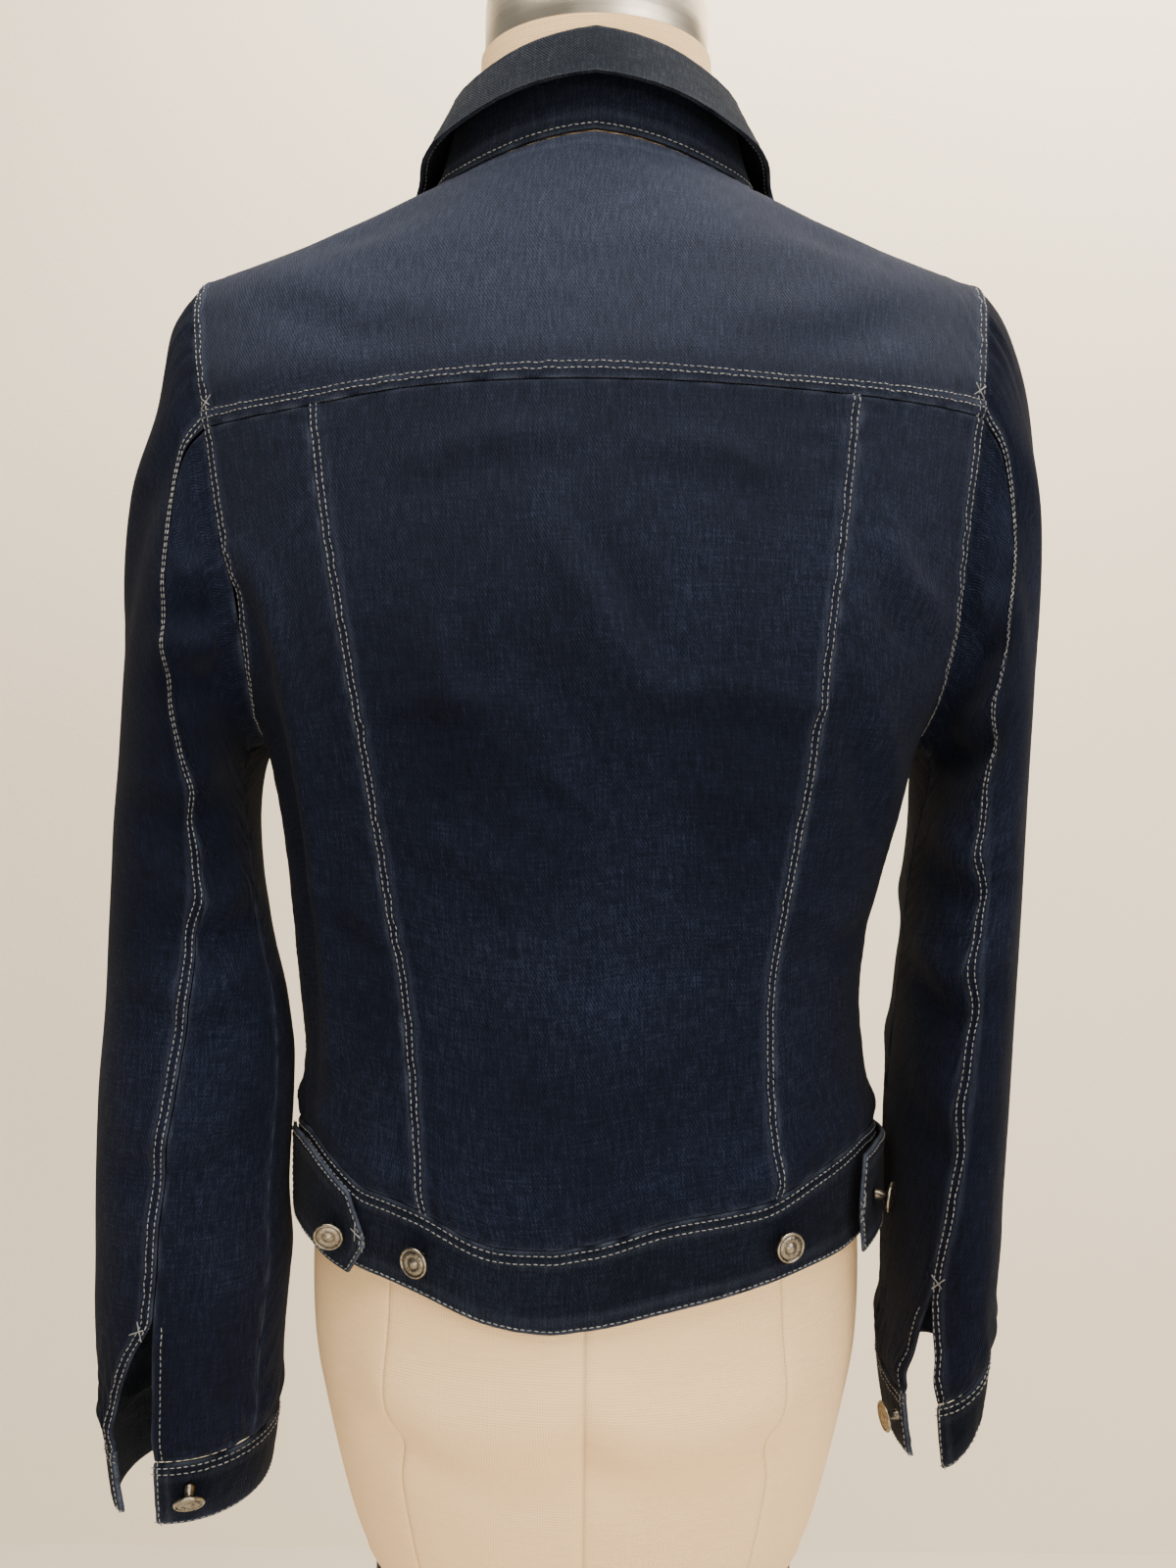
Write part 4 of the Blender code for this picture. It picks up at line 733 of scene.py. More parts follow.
YOKE_FOLDS = (
    (0.9, 1.2, ((-15.0, 127.0), (-10.5, 125.0), (-6.0, 124.6))),
    (-0.8, 1.0, ((-15.0, 125.2), (-10.6, 123.4), (-6.2, 123.0))),
    (0.9, 1.2, ((15.0, 127.2), (10.8, 125.2), (6.2, 124.8))),
    (-0.8, 1.0, ((15.0, 125.4), (10.8, 123.6), (6.4, 123.2))),
    (1.0, 0.9, ((7.5, 132.6), (10.5, 131.0), (14.0, 129.6))),
    (-0.8, 0.8, ((8.5, 131.0), (11.5, 129.4), (15.0, 128.2))),
    (1.0, 0.9, ((-7.5, 132.4), (-10.5, 130.8), (-14.0, 129.4))),
    (-0.8, 0.8, ((-8.5, 130.8), (-11.5, 129.2), (-15.0, 128.0))),
)
FRONT_FOLDS = (
    (2.2, 1.2, ((16.0, 110.0), (12.5, 107.0), (9.0, 105.8))),
    (-2.0, 1.2, ((16.0, 107.6), (12.5, 104.8), (9.0, 103.6))),
    (1.6, 1.2, ((14.0, 98.0), (10.0, 96.2), (6.0, 96.4))),
    (-1.6, 1.2, ((14.0, 95.8), (10.0, 94.2), (6.0, 94.4))),
    (1.8, 1.3, ((3.0, 126.0), (8.0, 121.0), (14.0, 118.0))),
    (-1.5, 1.3, ((3.0, 123.4), (8.0, 118.6), (13.6, 115.8))),
    (1.5, 1.4, ((4.0, 90.0), (6.0, 87.0), (7.0, 84.6))),
)
# Creases of the sleeves, over the angle from the outer point in degrees and the height in centimetres:
# height in millimetres, width in centimetres, then angle and height pairs.
SLEEVE_FOLDS = {
    "left": (
        (3.0, 0.8, ((150, 114.6), (120, 113.6), (95, 112.6))),
        (-3.2, 0.8, ((160, 112.6), (125, 111.8), (98, 111.0))),
        (2.6, 0.8, ((160, 110.4), (126, 109.6), (92, 109.4))),
        (-2.8, 0.9, ((165, 108.6), (128, 107.8), (90, 107.4))),
        (1.6, 1.0, ((150, 104.0), (110, 102.4), (70, 103.0))),
        (-1.6, 1.0, ((150, 102.2), (110, 100.6), (70, 101.2))),
        (2.2, 0.9, ((165, 97.8), (128, 96.8), (88, 97.8))),
        (-2.4, 0.9, ((165, 96.0), (128, 95.0), (88, 96.0))),
        (1.8, 0.9, ((150, 93.6), (112, 92.6), (70, 93.4))),
        (-1.8, 0.9, ((150, 91.8), (112, 90.8), (70, 91.8))),
        (1.4, 1.1, ((140, 87.6), (100, 86.0), (60, 86.6))),
        (-1.4, 1.1, ((140, 85.4), (100, 83.8), (60, 84.6))),
        (1.6, 1.1, ((60, 121.0), (40, 117.0), (30, 111.0))),
        (-1.4, 1.1, ((84, 120.0), (60, 116.0), (48, 110.0))),
        (1.5, 1.4, ((120, 80.0), (110, 76.0), (104, 72.5))),
        (2.0, 1.3, ((-40, 112.0), (-80, 108.0), (-130, 106.6))),
        (-2.0, 1.3, ((-40, 109.0), (-80, 105.4), (-130, 104.4))),
        (2.0, 1.2, ((-30, 98.0), (-80, 95.6), (-140, 96.4))),
        (-2.0, 1.2, ((-30, 95.6), (-80, 93.4), (-140, 94.2))),
        (1.8, 1.2, ((-40, 90.6), (-90, 88.6), (-150, 89.2))),
    ),
    "right": (
        (2.4, 0.9, ((170, 113.0), (135, 111.4), (100, 112.0))),
        (-2.6, 0.9, ((170, 111.2), (135, 109.6), (100, 110.4))),
        (1.8, 0.9, ((175, 107.4), (138, 106.2), (104, 107.2))),
        (-2.0, 0.9, ((175, 105.6), (138, 104.4), (104, 105.6))),
        (1.8, 1.0, ((165, 101.0), (125, 99.4), (84, 100.4))),
        (-1.8, 1.0, ((165, 99.2), (125, 97.6), (84, 98.8))),
        (2.0, 1.0, ((170, 95.2), (130, 93.8), (88, 94.8))),
        (-2.0, 1.0, ((170, 93.4), (130, 92.0), (88, 93.2))),
        (1.4, 1.1, ((160, 89.2), (120, 87.8), (80, 88.6))),
        (-1.4, 1.1, ((160, 87.2), (120, 85.8), (80, 86.8))),
        (1.4, 1.0, ((70, 121.0), (56, 116.0), (50, 110.0))),
        (-1.2, 1.0, ((96, 120.0), (76, 115.0), (68, 110.0))),
        (2.0, 1.3, ((-40, 112.0), (-80, 108.6), (-130, 107.4))),
        (-2.0, 1.3, ((-40, 109.0), (-80, 106.0), (-130, 105.2))),
        (2.0, 1.2, ((-30, 99.0), (-80, 96.6), (-140, 97.4))),
        (-2.0, 1.2, ((-30, 96.6), (-80, 94.4), (-140, 95.2))),
        (1.8, 1.2, ((-40, 91.0), (-90, 89.0), (-150, 89.8))),
    ),
}
DEGREE_WIDTH = 0.075  # centimetres of cloth that one degree of a sleeve takes up


# Each piece's seams at its n, s, w and e edges, in millimetres: the height of their puckers, how
# far a felled seam raises the cloth, and how far the puckers reach.
SEAMS = {
    "side_back": ((0.35, 0, 12), (0.6, 0, 16), (0.45, 0, 14), (0.45, 0.55, 14)),
    "centre_back": ((0.35, 0, 12), (0.7, 0, 18), (0.5, 0.7, 16), (0.5, 0.7, 16)),
    "back_yoke": ((0.35, 0.3, 12), (0.4, 1.0, 14), (0.45, 0.6, 14), (0.45, 0.6, 14)),
    "front": ((0.3, 0, 12), (0.6, 0, 16), (0.3, 0, 12), (0.45, 0.3, 14)),
    "waistband": ((0.2, 0.25, 10), (0.25, 0.25, 10), (0, 0, 10), (0, 0, 10)),
    "front_placket": ((0.1, 0, 8), (0.1, 0, 8), (0.3, 0.3, 10), (0.3, 0.3, 10)),
    "collar": ((0.2, 0.3, 8), (0.2, 0.3, 10), (0.1, 0.2, 8), (0.1, 0.2, 8)),
    "sleeve_upper": ((0.55, 0, 18), (0.6, 0, 20), (0.4, 0.7, 12), (0.35, 0, 10)),
    "sleeve_under": ((0.55, 0, 18), (0.6, 0, 20), (0.4, 0, 12), (0.35, 0, 10)),
    "cuff": ((0.25, 0.25, 10), (0.3, 0.25, 10), (0.1, 0.2, 6), (0.1, 0.2, 6)),
    "tab": ((0.12, 0.3, 6), (0.12, 0.3, 6), (0.05, 0.3, 6), (0.05, 0.2, 6)),
}


PUCKER_LENGTH, PUCKER_SWELL = 0.0115, 0.021  # along a seam
PUCKER_DEPTH = 2.3  # of every pucker against its tabled height
PUCKER_START = (0.0005, 0.004)  # from the seam
FELL_EDGE = (0.0058, 0.0084)  # where the cloth drops off a felled seam's allowance
FELL_RIDGE, RIDGE_WIDTH = 0.0066, 0.0012  # the worn line along that drop
ROLL_DEPTH, ROLL_REACH = 0.6, 0.0007  # of a piece's edge, in millimetres and metres
EDGE_WEAR_REACH = 0.0009


def relief(name, distances, seed):
    """How a piece rises and falls beside its seams, how worn it is there, and how far its edges
    roll in."""
    shape = np.broadcast_shapes(*(d.shape for d in distances.values()))
    total, wear, rounding = np.zeros(shape), np.zeros(shape), np.zeros(shape)
    kind = name.removesuffix("_left").removesuffix("_right")
    for k, (edge, (pucker, raised, reach)) in enumerate(zip("nswe", SEAMS[kind])):
        d = distances[edge]
        along = distances["w" if edge in "ns" else "n"]
        if pucker:
            wave = waves(along, PUCKER_LENGTH, seed + 11 * k)
            wave = wave + 0.6 * waves(along, PUCKER_SWELL, seed + 11 * k + 5)
            start = smoothstep(d, *PUCKER_START)
            total += PUCKER_DEPTH * pucker * MM * wave * start * np.exp(-d / (reach * MM))
        if raised:
            fell = 1 - smoothstep(d, *FELL_EDGE)
            total += raised * MM * fell * (1 + 0.18 * waves(along, 0.013, seed + 17 * k))
            wear += 0.10 * np.exp(-(((d - FELL_RIDGE) / RIDGE_WIDTH) ** 2))
        rounding += ROLL_DEPTH * MM * np.exp(-d / ROLL_REACH)
        wear += (0.24 + 0.22 * waves(along, 0.02, seed + 5 * k)) * np.exp(-d / EDGE_WEAR_REACH)
    return total, np.clip(wear, 0, 1), rounding


RUB_REACH = 0.0012


def rub(distances, edge, seed, most=0.7):
    """Where a folded edge has lost its dye: unevenly along it, a millimetre or two deep."""
    along = distances["w" if edge in "ns" else "n"]
    uneven = 0.6 + 0.3 * waves(along, 0.017, seed) + 0.25 * waves(along, 0.006, seed + 3)
    return most * uneven * np.exp(-distances[edge] / RUB_REACH)


pieces = {}  # name: its outer points and their distances from its edges, for the stitching


def add_object(name, data):
    """An object at the origin, linked to the scene."""
    made = bpy.data.objects.new(name, data)
    bpy.context.scene.collection.objects.link(made)
    return made


def new_mesh(name, points, faces, look, uv=None, wear=None):
    """A mesh with its finish, its UVs in metres of cloth and how worn or dark each point is, with
    painted top light on the denim's shoulders.
    """
    mesh = bpy.data.meshes.new(name)
    mesh.from_pydata(points.tolist(), [], faces)
    mesh.materials.append(look)
    if uv is not None:
        layer = mesh.uv_layers.new(name="cloth")
        layer.data.foreach_set("uv", uv.astype(np.float32).ravel())
    if wear is not None:
        worn = mesh.attributes.new("wear", "FLOAT", "POINT")
        worn.data.foreach_set("value", np.asarray(wear, np.float32).ravel())
    mesh.shade_smooth()
    return mesh


def stand_for(piece, slot, *nodes):
    """The piece rides on the one body, in place of these nodes. The slot is not used."""
    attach(piece, "root")
    if nodes:
        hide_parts(*nodes)


def shell(name, outer, inner, wear, look):
    """A closed piece of cloth from two grids of points, with the reverse on its inner side."""
    rows, columns = outer.shape[:2]
    count = rows * columns
    index = np.arange(count).reshape(rows, columns)
    corners = (index[:-1, :-1], index[:-1, 1:], index[1:, 1:], index[1:, :-1])
    front = np.stack(corners, -1).reshape(-1, 4)
    back = front[:, ::-1] + count
    rim = np.concatenate([index[0], index[1:, -1], index[-1, -2::-1], index[-2:0:-1, 0]])
    after = np.roll(rim, -1)
    edge = np.stack([rim, rim + count, after + count, after], -1)
    quads = np.concatenate([front, back, edge])
    points = np.concatenate([outer.reshape(-1, 3), inner.reshape(-1, 3)])
    if np.linalg.det(points[quads[:, :3]]).sum() + np.linalg.det(points[quads[:, [0, 2, 3]]]).sum() < 0:
        quads = quads[:, ::-1]
    across = lengths(outer, 1)
    across = across - across[:, columns // 2 : columns // 2 + 1]
    down = np.broadcast_to(lengths(outer, 0).mean(1, keepdims=True), across.shape)
    flat = np.stack([across, -down], -1).reshape(-1, 2)
    worn = np.concatenate([wear.ravel(), wear.ravel() * 0.4])
    uv = np.concatenate([flat, flat])[quads.reshape(-1)]
    mesh = new_mesh(name, points, quads.tolist(), look, uv, worn)
    mesh.materials.append(reverse)
    side = np.zeros(len(quads), np.int32)
    side[len(front) : len(front) + len(back)] = 1
    mesh.polygons.foreach_set("material_index", side)
    mesh.set_sharp_from_angle(angle=math.radians(SHARP_EDGE))
    mesh.update()
    return add_object(name, mesh)


def cloth(name, points, normal, lift, rounding, wear, thickness):
    """Lifts a grid by its folds and closes it into a piece with a reverse."""
    long, area = float(lengths(points, 0)[-1].max()), quad_area(points)
    wide = max(float(np.percentile(lengths(points, 1)[:, -1], 85)), area / long)
    outer = points + normal * (lift - rounding)[..., None]
    inner = points + normal * (lift - thickness)[..., None]
    # Folded pieces take the darker denim, which is partly painted shade
    made = shell(name + "_cloth", outer, inner, wear, denim if thickness == DENIM else deep)
    pieces[name] = {"points": outer, "distances": edge_distances(outer), "normal": normal}
    stand_for(made, "denim", name)


def grid_facing(points, like):
    """The grid's own normals, turned the way of the given ones."""
    normal = grid_normal(points)
    flip = np.sign((normal * like).sum(-1, keepdims=True))
    flip[flip == 0] = 1
    return normal * flip


def quad_area(points):
    """The area of a grid's faces."""
    a, b = points[:-1, :-1], points[1:, 1:]
    c, d = points[:-1, 1:], points[1:, :-1]
    return float(np.linalg.norm(np.cross(b - a, d - c), axis=-1).sum() / 2)


# ---------------------------------------------------------------- finishes

def linear(code):
    """A shader colour from its sRGB code."""
    parts = [int(code[i : i + 2], 16) / 255 for i in (1, 3, 5)]
    return (*(c / 12.92 if c <= 0.04045 else ((c + 0.055) / 1.055) ** 2.4 for c in parts), 1.0)


def node(tree, kind, inputs=(), **settings):
    """Adds a node; inputs maps a socket's name or number to a value or to an output to link."""
    made = tree.nodes.new(kind)
    for name, value in settings.items():
        setattr(made, name, value)
    for key, value in dict(inputs).items():
        if isinstance(value, bpy.types.NodeSocket):
            tree.links.new(value, made.inputs[key])
        else:
            made.inputs[key].default_value = value
    return made


def finish(name, **numbers):
    """A new material and its shader, with these numbers on the shader's own sockets."""
    made = bpy.data.materials.new(name)
    made.use_nodes = True
    shader = made.node_tree.nodes["Principled BSDF"]
    for key, value in numbers.items():
        shader.inputs[key.replace("_", " ")].default_value = value
    return made, made.node_tree, shader


def ramp(tree, value, *stops):
    """A colour ramp over a value: stops are (place, sRGB code)."""
    made = node(tree, "ShaderNodeValToRGB", {"Fac": value})
    marks = made.color_ramp.elements
    while len(marks) < len(stops):
        marks.new(0.5)
    for mark, (place, code) in zip(marks, stops):
        mark.position, mark.color = place, linear(code)
    return made.outputs["Color"]


def mix(tree, share, first, second):
    """A colour between two, by this share."""
    made = node(tree, "ShaderNodeMix", data_type="RGBA")
    for name, value in (("Factor", share), ("A", first), ("B", second)):
        target = next(s for s in made.inputs if s.name == name and s.enabled)
        if isinstance(value, bpy.types.NodeSocket):
            tree.links.new(value, target)
        else:
            target.default_value = value
    return next(s for s in made.outputs if s.enabled)


def maths(tree, operation, first, second):
    """One sum or product of two values."""
    return node(tree, "ShaderNodeMath", {0: first, 1: second}, operation=operation).outputs[0]


def blended(tree, parts):
    """The sum of values, each by its share."""
    total = None
    for value, share in parts:
        value = value if share == 1 else maths(tree, "MULTIPLY", value, share)
        total = value if total is None else maths(tree, "ADD", total, value)
    return total


def remap(tree, value, low, high, to_low=0.0, to_high=1.0):
    """A value's range from low to high, spread over another."""
    made = node(tree, "ShaderNodeMapRange", {
        "Value": value, "From Min": low, "From Max": high, "To Min": to_low, "To Max": to_high,
    })
    return made.outputs[0]


def stretched(tree, source, scale, turn=0.0):
    """A vector turned in its own plane, then scaled to repeats a metre."""
    level = node(tree, "ShaderNodeMapping", {"Vector": source, "Rotation": (0, 0, math.radians(turn))})
    return node(tree, "ShaderNodeMapping", {"Vector": level.outputs[0], "Scale": scale}).outputs[0]


def noise(tree, vector, detail, roughness=0.5):
    """Soft random specks, about one for each unit of the vector."""
    made = node(tree, "ShaderNodeTexNoise", {
        "Vector": vector, "Scale": 1.0, "Detail": detail, "Roughness": roughness,
    })
    return made.outputs["Fac"]


def bands(tree, vector, distortion):
    """Even soft lines across x: one for each unit of the vector."""
    made = node(tree, "ShaderNodeTexWave", {
        "Vector": vector, "Scale": 0.3142, "Distortion": distortion, "Detail": 1.0, "Detail Scale": 1.5,
    }, wave_type="BANDS", bands_direction="X", wave_profile="SIN")
    return made.outputs["Fac"]


def feed(tree, shader, relief_height, depth, **sources):
    """Gives the shader its patterns, and a bump of this height and depth in metres."""
    bump = node(tree, "ShaderNodeBump", {"Height": relief_height, "Distance": depth})
    for key, value in dict(sources, Normal=bump.outputs[0]).items():
        tree.links.new(value, shader.inputs[key.replace("_", " ")])


def every(tree, source, size, detail, roughness=0.5):
    """Noise with specks of this size in metres, as three numbers or one."""
    sizes = (size,) * 3 if np.isscalar(size) else size
    return noise(tree, stretched(tree, source, tuple(1 / value for value in sizes)), detail, roughness)


def own_place(tree):
    """A point's place on the object."""
    return node(tree, "ShaderNodeTexCoord").outputs["Object"]


def own_value(tree):
    """How worn, dark or close to a seam a point is; on the denim it also holds painted top light on the
    shoulders.
    """
    return node(tree, "ShaderNodeAttribute", attribute_name="wear").outputs["Fac"]


def denim_finish(name, dark, middle, pale, worn):
    """Ring-spun twill, rope-dyed, with a stretch weft: diagonal lines, slubby warp streaks that run
    down each piece, and pale cotton where the dye has rubbed off ridges and seam edges. The same
    pale mix also paints the light from above on the shoulders."""
    made, tree, shader = finish(name, Roughness=0.95, Sheen_Weight=0.02, Sheen_Roughness=0.4,
                                Specular_IOR_Level=0.06)
    cut = node(tree, "ShaderNodeUVMap", uv_map="cloth").outputs[0]
    place = own_place(tree)
    # Twill lines 1.3 mm apart: the cloth's own 0.6 mm ones would be lost at arm's length.
    twill = bands(tree, stretched(tree, cut, (1 / 0.0013, 60, 1), 27), 0.6)
    slub = every(tree, cut, (0.0010, 0.013, 1), 3, 0.65)
    filling = every(tree, cut, (0.016, 0.0011, 1), 2, 0.6)
    fine = every(tree, cut, (0.0008, 0.0012, 1), 2, 0.7)
    cast = noise(tree, stretched(tree, place, (9, 9, 6)), 3, 0.55)
    mottle = every(tree, cut, (0.0035, 0.005, 1), 3, 0.7)
    yarns = [(remap(tree, slub, 0.25, 0.8), 0.34), (remap(tree, mottle, 0.3, 0.7, -0.06, 0.06), 1),
             (remap(tree, filling, 0.25, 0.8), 0.20), (remap(tree, fine, 0.25, 0.8), 0.34),
             (twill, 0.10), (remap(tree, cast, 0.3, 0.75, -0.10, 0.14), 1)]
    colour = ramp(tree, blended(tree, yarns), (0.16, dark), (0.49, middle), (0.86, pale))
    grain = remap(tree, maths(tree, "ADD", slub, fine), 0.7, 1.35, 0.45, 1.05)
    # Pale where the dye is worn, and paler toward the shoulders as painted top light
    rubbed = maths(tree, "MULTIPLY", own_value(tree), grain)
    rubbed = node(tree, "ShaderNodeClamp", {"Value": rubbed}).outputs[0]
    height = blended(tree, [(twill, 0.45), (slub, 0.9), (fine, 0.7)])
    feed(tree, shader, height, 0.00035, Base_Color=mix(tree, rubbed, colour, linear(worn)))
    return made


denim = denim_finish("indigo ring-spun stretch denim", "#080a11", "#101524", "#2b3247", "#646f88")
# A darker copy of the denim for the folded pieces: partly the doubled cloth's own tone, partly painted
# shade that keeps the collar's fall dark
deep = denim_finish("indigo denim, doubled and less washed", "#07090f", "#0e131e", "#262c3b", "#5f687c")
reverse = denim_finish("denim reverse, pale weft", "#121620", "#20262f", "#434a57", "#6a7180")


def thread_finish():
    """Core-spun polyester topstitching, glossy on its crowns and dirtier between them."""
    made, tree, shader = finish("core-spun topstitch thread", Roughness=0.55, Sheen_Weight=0.15)
    place = own_place(tree)
    strand = every(tree, place, 0.004, 2)
    colour = ramp(tree, strand, (0.3, "#595b5e"), (0.55, "#777a7c"), (0.75, "#999b9b"))
    feed(tree, shader, every(tree, place, 0.0005, 1), 0.0002, Base_Color=colour)
    return made


def nickel_finish():
    """Cast zinc plated in antique nickel: bright crowns, dark oxide left in the recesses."""
    made, tree, shader = finish("antique nickel plate", Metallic=1.0)
    spots = every(tree, own_place(tree), 0.0016, 3, 0.6)
    bright = ramp(tree, spots, (0.3, "#706a60"), (0.7, "#a19a8d"))
    feed(tree, shader, spots, 0.00006, Base_Color=mix(tree, own_value(tree), bright, linear("#37322c")),
         Roughness=remap(tree, spots, 0.3, 0.7, 0.22, 0.42))
    return made


def canvas_finish():
    """Plain-woven natural linen stretched over the form: crossing yarns with odd thick ones."""
    made, tree, shader = finish("natural linen canvas", Roughness=0.85, Sheen_Weight=0.12,
                                Specular_IOR_Level=0.2)
    cut = node(tree, "ShaderNodeUVMap", uv_map="cloth").outputs[0]
    # Yarns 1.2 mm apart: the cloth's own 0.5 mm ones would be lost at arm's length.
    warp, weft = (bands(tree, stretched(tree, cut, (1 / 0.0012, 1, 1), turn), 0.4) for turn in (0, 90))
    thick = every(tree, cut, (0.02, 0.0018, 1), 2, 0.6)
    cast = noise(tree, stretched(tree, own_place(tree), (7, 7, 7)), 2)
    weave = maths(tree, "MULTIPLY", maths(tree, "ADD", warp, weft), 0.5)
    tone = blended(tree, [(weave, 0.35), (thick, 0.45), (remap(tree, cast, 0.3, 0.7, 0.0, 0.2), 1)])
    colour = ramp(tree, tone, (0.10, "#f4cb92"), (0.5, "#fcd6a0"), (0.90, "#ffe2b4"))
    feed(tree, shader, maths(tree, "ADD", weave, thick), 0.00025,
         Base_Color=mix(tree, own_value(tree), colour, linear("#a8946f")))
    return made


def steel_finish():
    """Stainless sheet brushed around the cap."""
    made, tree, shader = finish("brushed stainless steel", Metallic=1.0, Anisotropic=0.5)
    place = own_place(tree)
    lines = noise(tree, stretched(tree, place, (12, 12, 1 / 0.0005)), 2, 0.7)
    smudge = noise(tree, stretched(tree, place, (40, 40, 60)), 2)
    colour = ramp(tree, lines, (0.25, "#d0c6b4"), (0.75, "#eee4d2"))
    feed(tree, shader, lines, 0.00004, Base_Color=colour,
         Roughness=remap(tree, smudge, 0.3, 0.7, 0.26, 0.40))
    return made


def iron_finish():
    """Black enamel on iron, with a faint orange peel and duller handled patches."""
    made, tree, shader = finish("black enamelled iron", Coat_Weight=0.3, Coat_Roughness=0.2)
    place = own_place(tree)
    dull = noise(tree, stretched(tree, place, (14, 14, 14)), 3)
    colour = ramp(tree, dull, (0.3, "#141415"), (0.7, "#1f1f21"))
    feed(tree, shader, every(tree, place, 0.002, 2), 0.0001, Base_Color=colour,
         Roughness=remap(tree, dull, 0.3, 0.7, 0.32, 0.5))
    return made


def plaster_finish(name, low, high):
    """Matt painted plaster or board with the roller's faint stipple."""
    made, tree, shader = finish(name, Roughness=0.9, Specular_IOR_Level=0.2)
    place = own_place(tree)
    cast = noise(tree, stretched(tree, place, (1.5, 1.5, 1.5)), 2)
    colour = ramp(tree, cast, (0.3, low), (0.7, high))
    feed(tree, shader, every(tree, place, 0.004, 2), 0.0003, Base_Color=colour)
    return made


thread, nickel, canvas = thread_finish(), nickel_finish(), canvas_finish()
steel, iron = steel_finish(), iron_finish()


# ---------------------------------------------------------------- the jacket's pieces

SHOULDER_FADE_AND_TOP_LIGHT = 0.17  # of the dye, where light and hangers reach; partly real fading, partly painted light from above on the shoulders
YOKE_FADE_AND_TOP_LIGHT, BACK_FADE_AND_TOP_LIGHT = (1.215, 1.235), (1.02, 1.20)  # heights between which it sets in


def refine(values, rows, columns):
    """A grid with more lines, straight between the old ones."""
    for axis, count in ((0, rows), (1, columns)):
        lines = np.moveaxis(values, axis, 0)
        at = np.linspace(0, len(lines) - 1, count)
        low = np.minimum(at.astype(int), len(lines) - 2)
        share = (at - low).reshape(-1, *([1] * (lines.ndim - 1)))
        values = np.moveaxis(lines[low] * (1 - share) + lines[low + 1] * share, 0, axis)
    return values


PUFF_PLACE, PUFF_WIDTH = 0.011, 0.008  # from the seam


def puff(distances, height, seed):
    """The fullness that rolls over just above a tight lower seam, this many millimetres high."""
    uneven = 1 + 0.35 * waves(distances["w"], 0.045, seed)
    return height * MM * uneven * np.exp(-(((distances["s"] - PUFF_PLACE) / PUFF_WIDTH) ** 2))


def body_piece(
    name, grid, seed, creases=(), fullness=0.0, proud=0.0, thickness=DENIM, coarse=1, worn=""
):
    """A piece that lies on the body, from its grid of u and height: its creases, the fullness above
    its lower seam in millimetres, how far it stands proud, and its worn edges."""
    grid = crowd(grid[::coarse, ::coarse])
    points, normal = body(grid[..., 0], grid[..., 1]), body_normal(grid[..., 0], grid[..., 1])
    points = draw_back(points + normal * proud, GAP / 2)
    distances = edge_distances(points)
    lift, wear, rounding = relief(name, distances, seed)
    lift = lift + folds(points[..., 0], points[..., 2], creases)
    if fullness:
        lift = lift + puff(distances, fullness, seed)
    for edge in worn:
        wear = wear + rub(distances, edge, seed)
    z = points[..., 2]
    # Paler with height toward the shoulders: partly faded dye, partly painted light from above
    fade = 0.7 * smoothstep(z, *YOKE_FADE_AND_TOP_LIGHT) + 0.3 * smoothstep(z, *BACK_FADE_AND_TOP_LIGHT)
    wear = wear + SHOULDER_FADE_AND_TOP_LIGHT * fade
    cloth(name, points, normal, lift, rounding, wear, thickness)


def make_body():
    """The backs, the yoke and the fronts; gives the long back seams."""
    corner = {side: yoke_corner(side, sign) for side, sign, _ in SIDES}
    seams = {side: princess(side, sign) for side, sign, _ in SIDES}
    backs = {
        side: armhole(side, sign, np.linspace(corner[side], math.pi, ARMHOLE_BACK_ROWS + 1))
        for side, sign, _ in SIDES
    }
    tops = {}
    for side, sign, _ in SIDES:
        inner_x = body(*seams[side][0])[0]
        outer_x = body(*backs[side][0])[0]
        tops[side] = yoke_seam(np.linspace(inner_x, outer_x, SIDE_BACK_COLUMNS + 1))
        tops[side][0], tops[side][-1] = seams[side][0], backs[side][0]
        bottom = band_top(seams[side][-1][0], sign, SIDE_BACK_COLUMNS)
        outer_edge = join(backs[side], side_seam(sign))
        grid = patch(tops[side], bottom, seams[side], outer_edge)
        body_piece(f"side_back_{side}", grid, 21 + sign, SIDE_BACK_FOLDS[side], fullness=2.0)
    left_x, right_x = (body(*seams[side][0])[0] for side in ("left", "right"))
    across = yoke_seam(np.linspace(right_x, left_x, CENTRE_COLUMNS + 1))
    across[0], across[-1] = seams["right"][0], seams["left"][0]
    bottom = band_top(seams["right"][-1][0], seams["left"][-1][0], CENTRE_COLUMNS)
    grid = patch(across, bottom, seams["right"], seams["left"])
    body_piece("centre_back", grid, 31, BACK_FOLDS, fullness=2.4)

    edges = {
        side: armhole(side, sign, np.linspace(0, corner[side], YOKE_ROWS + 1))
        for side, sign, _ in SIDES
    }
    back_neck = neckline(np.linspace(-1, 1, NECK_BACK_COLUMNS + 1))
    yoke_top = join(shoulder_seam(-1), back_neck, shoulder_seam(1)[::-1])
    yoke_bottom = join(tops["right"][::-1], across, tops["left"])
    grid = patch(yoke_top, yoke_bottom, edges["right"], edges["left"])
    body_piece("back_yoke", grid, 41, YOKE_FOLDS)

    for side, sign, _ in SIDES:
        neck = neckline(sign * np.linspace(FRONT_EDGE, 1, NECK_FRONT_COLUMNS + 1))
        arm = armhole(side, sign, front_turns()[::-1])
        outer_edge = join(shoulder_seam(sign)[::-1], arm, side_seam(sign))
        bottom = band_top(sign * FRONT_EDGE, sign, NECK_FRONT_COLUMNS)
        z = front_edge_heights()
        edge = np.stack([np.full(len(z), sign * FRONT_EDGE), z], -1)
        creases = [(h, w, [(sign * x, y) for x, y in line]) for h, w, line in FRONT_FOLDS]
        grid = front_patch(sign, neck, bottom, edge, outer_edge)
        body_piece(f"front_{side}", grid, 51 + sign, creases, fullness=2.0, coarse=2)
    return seams


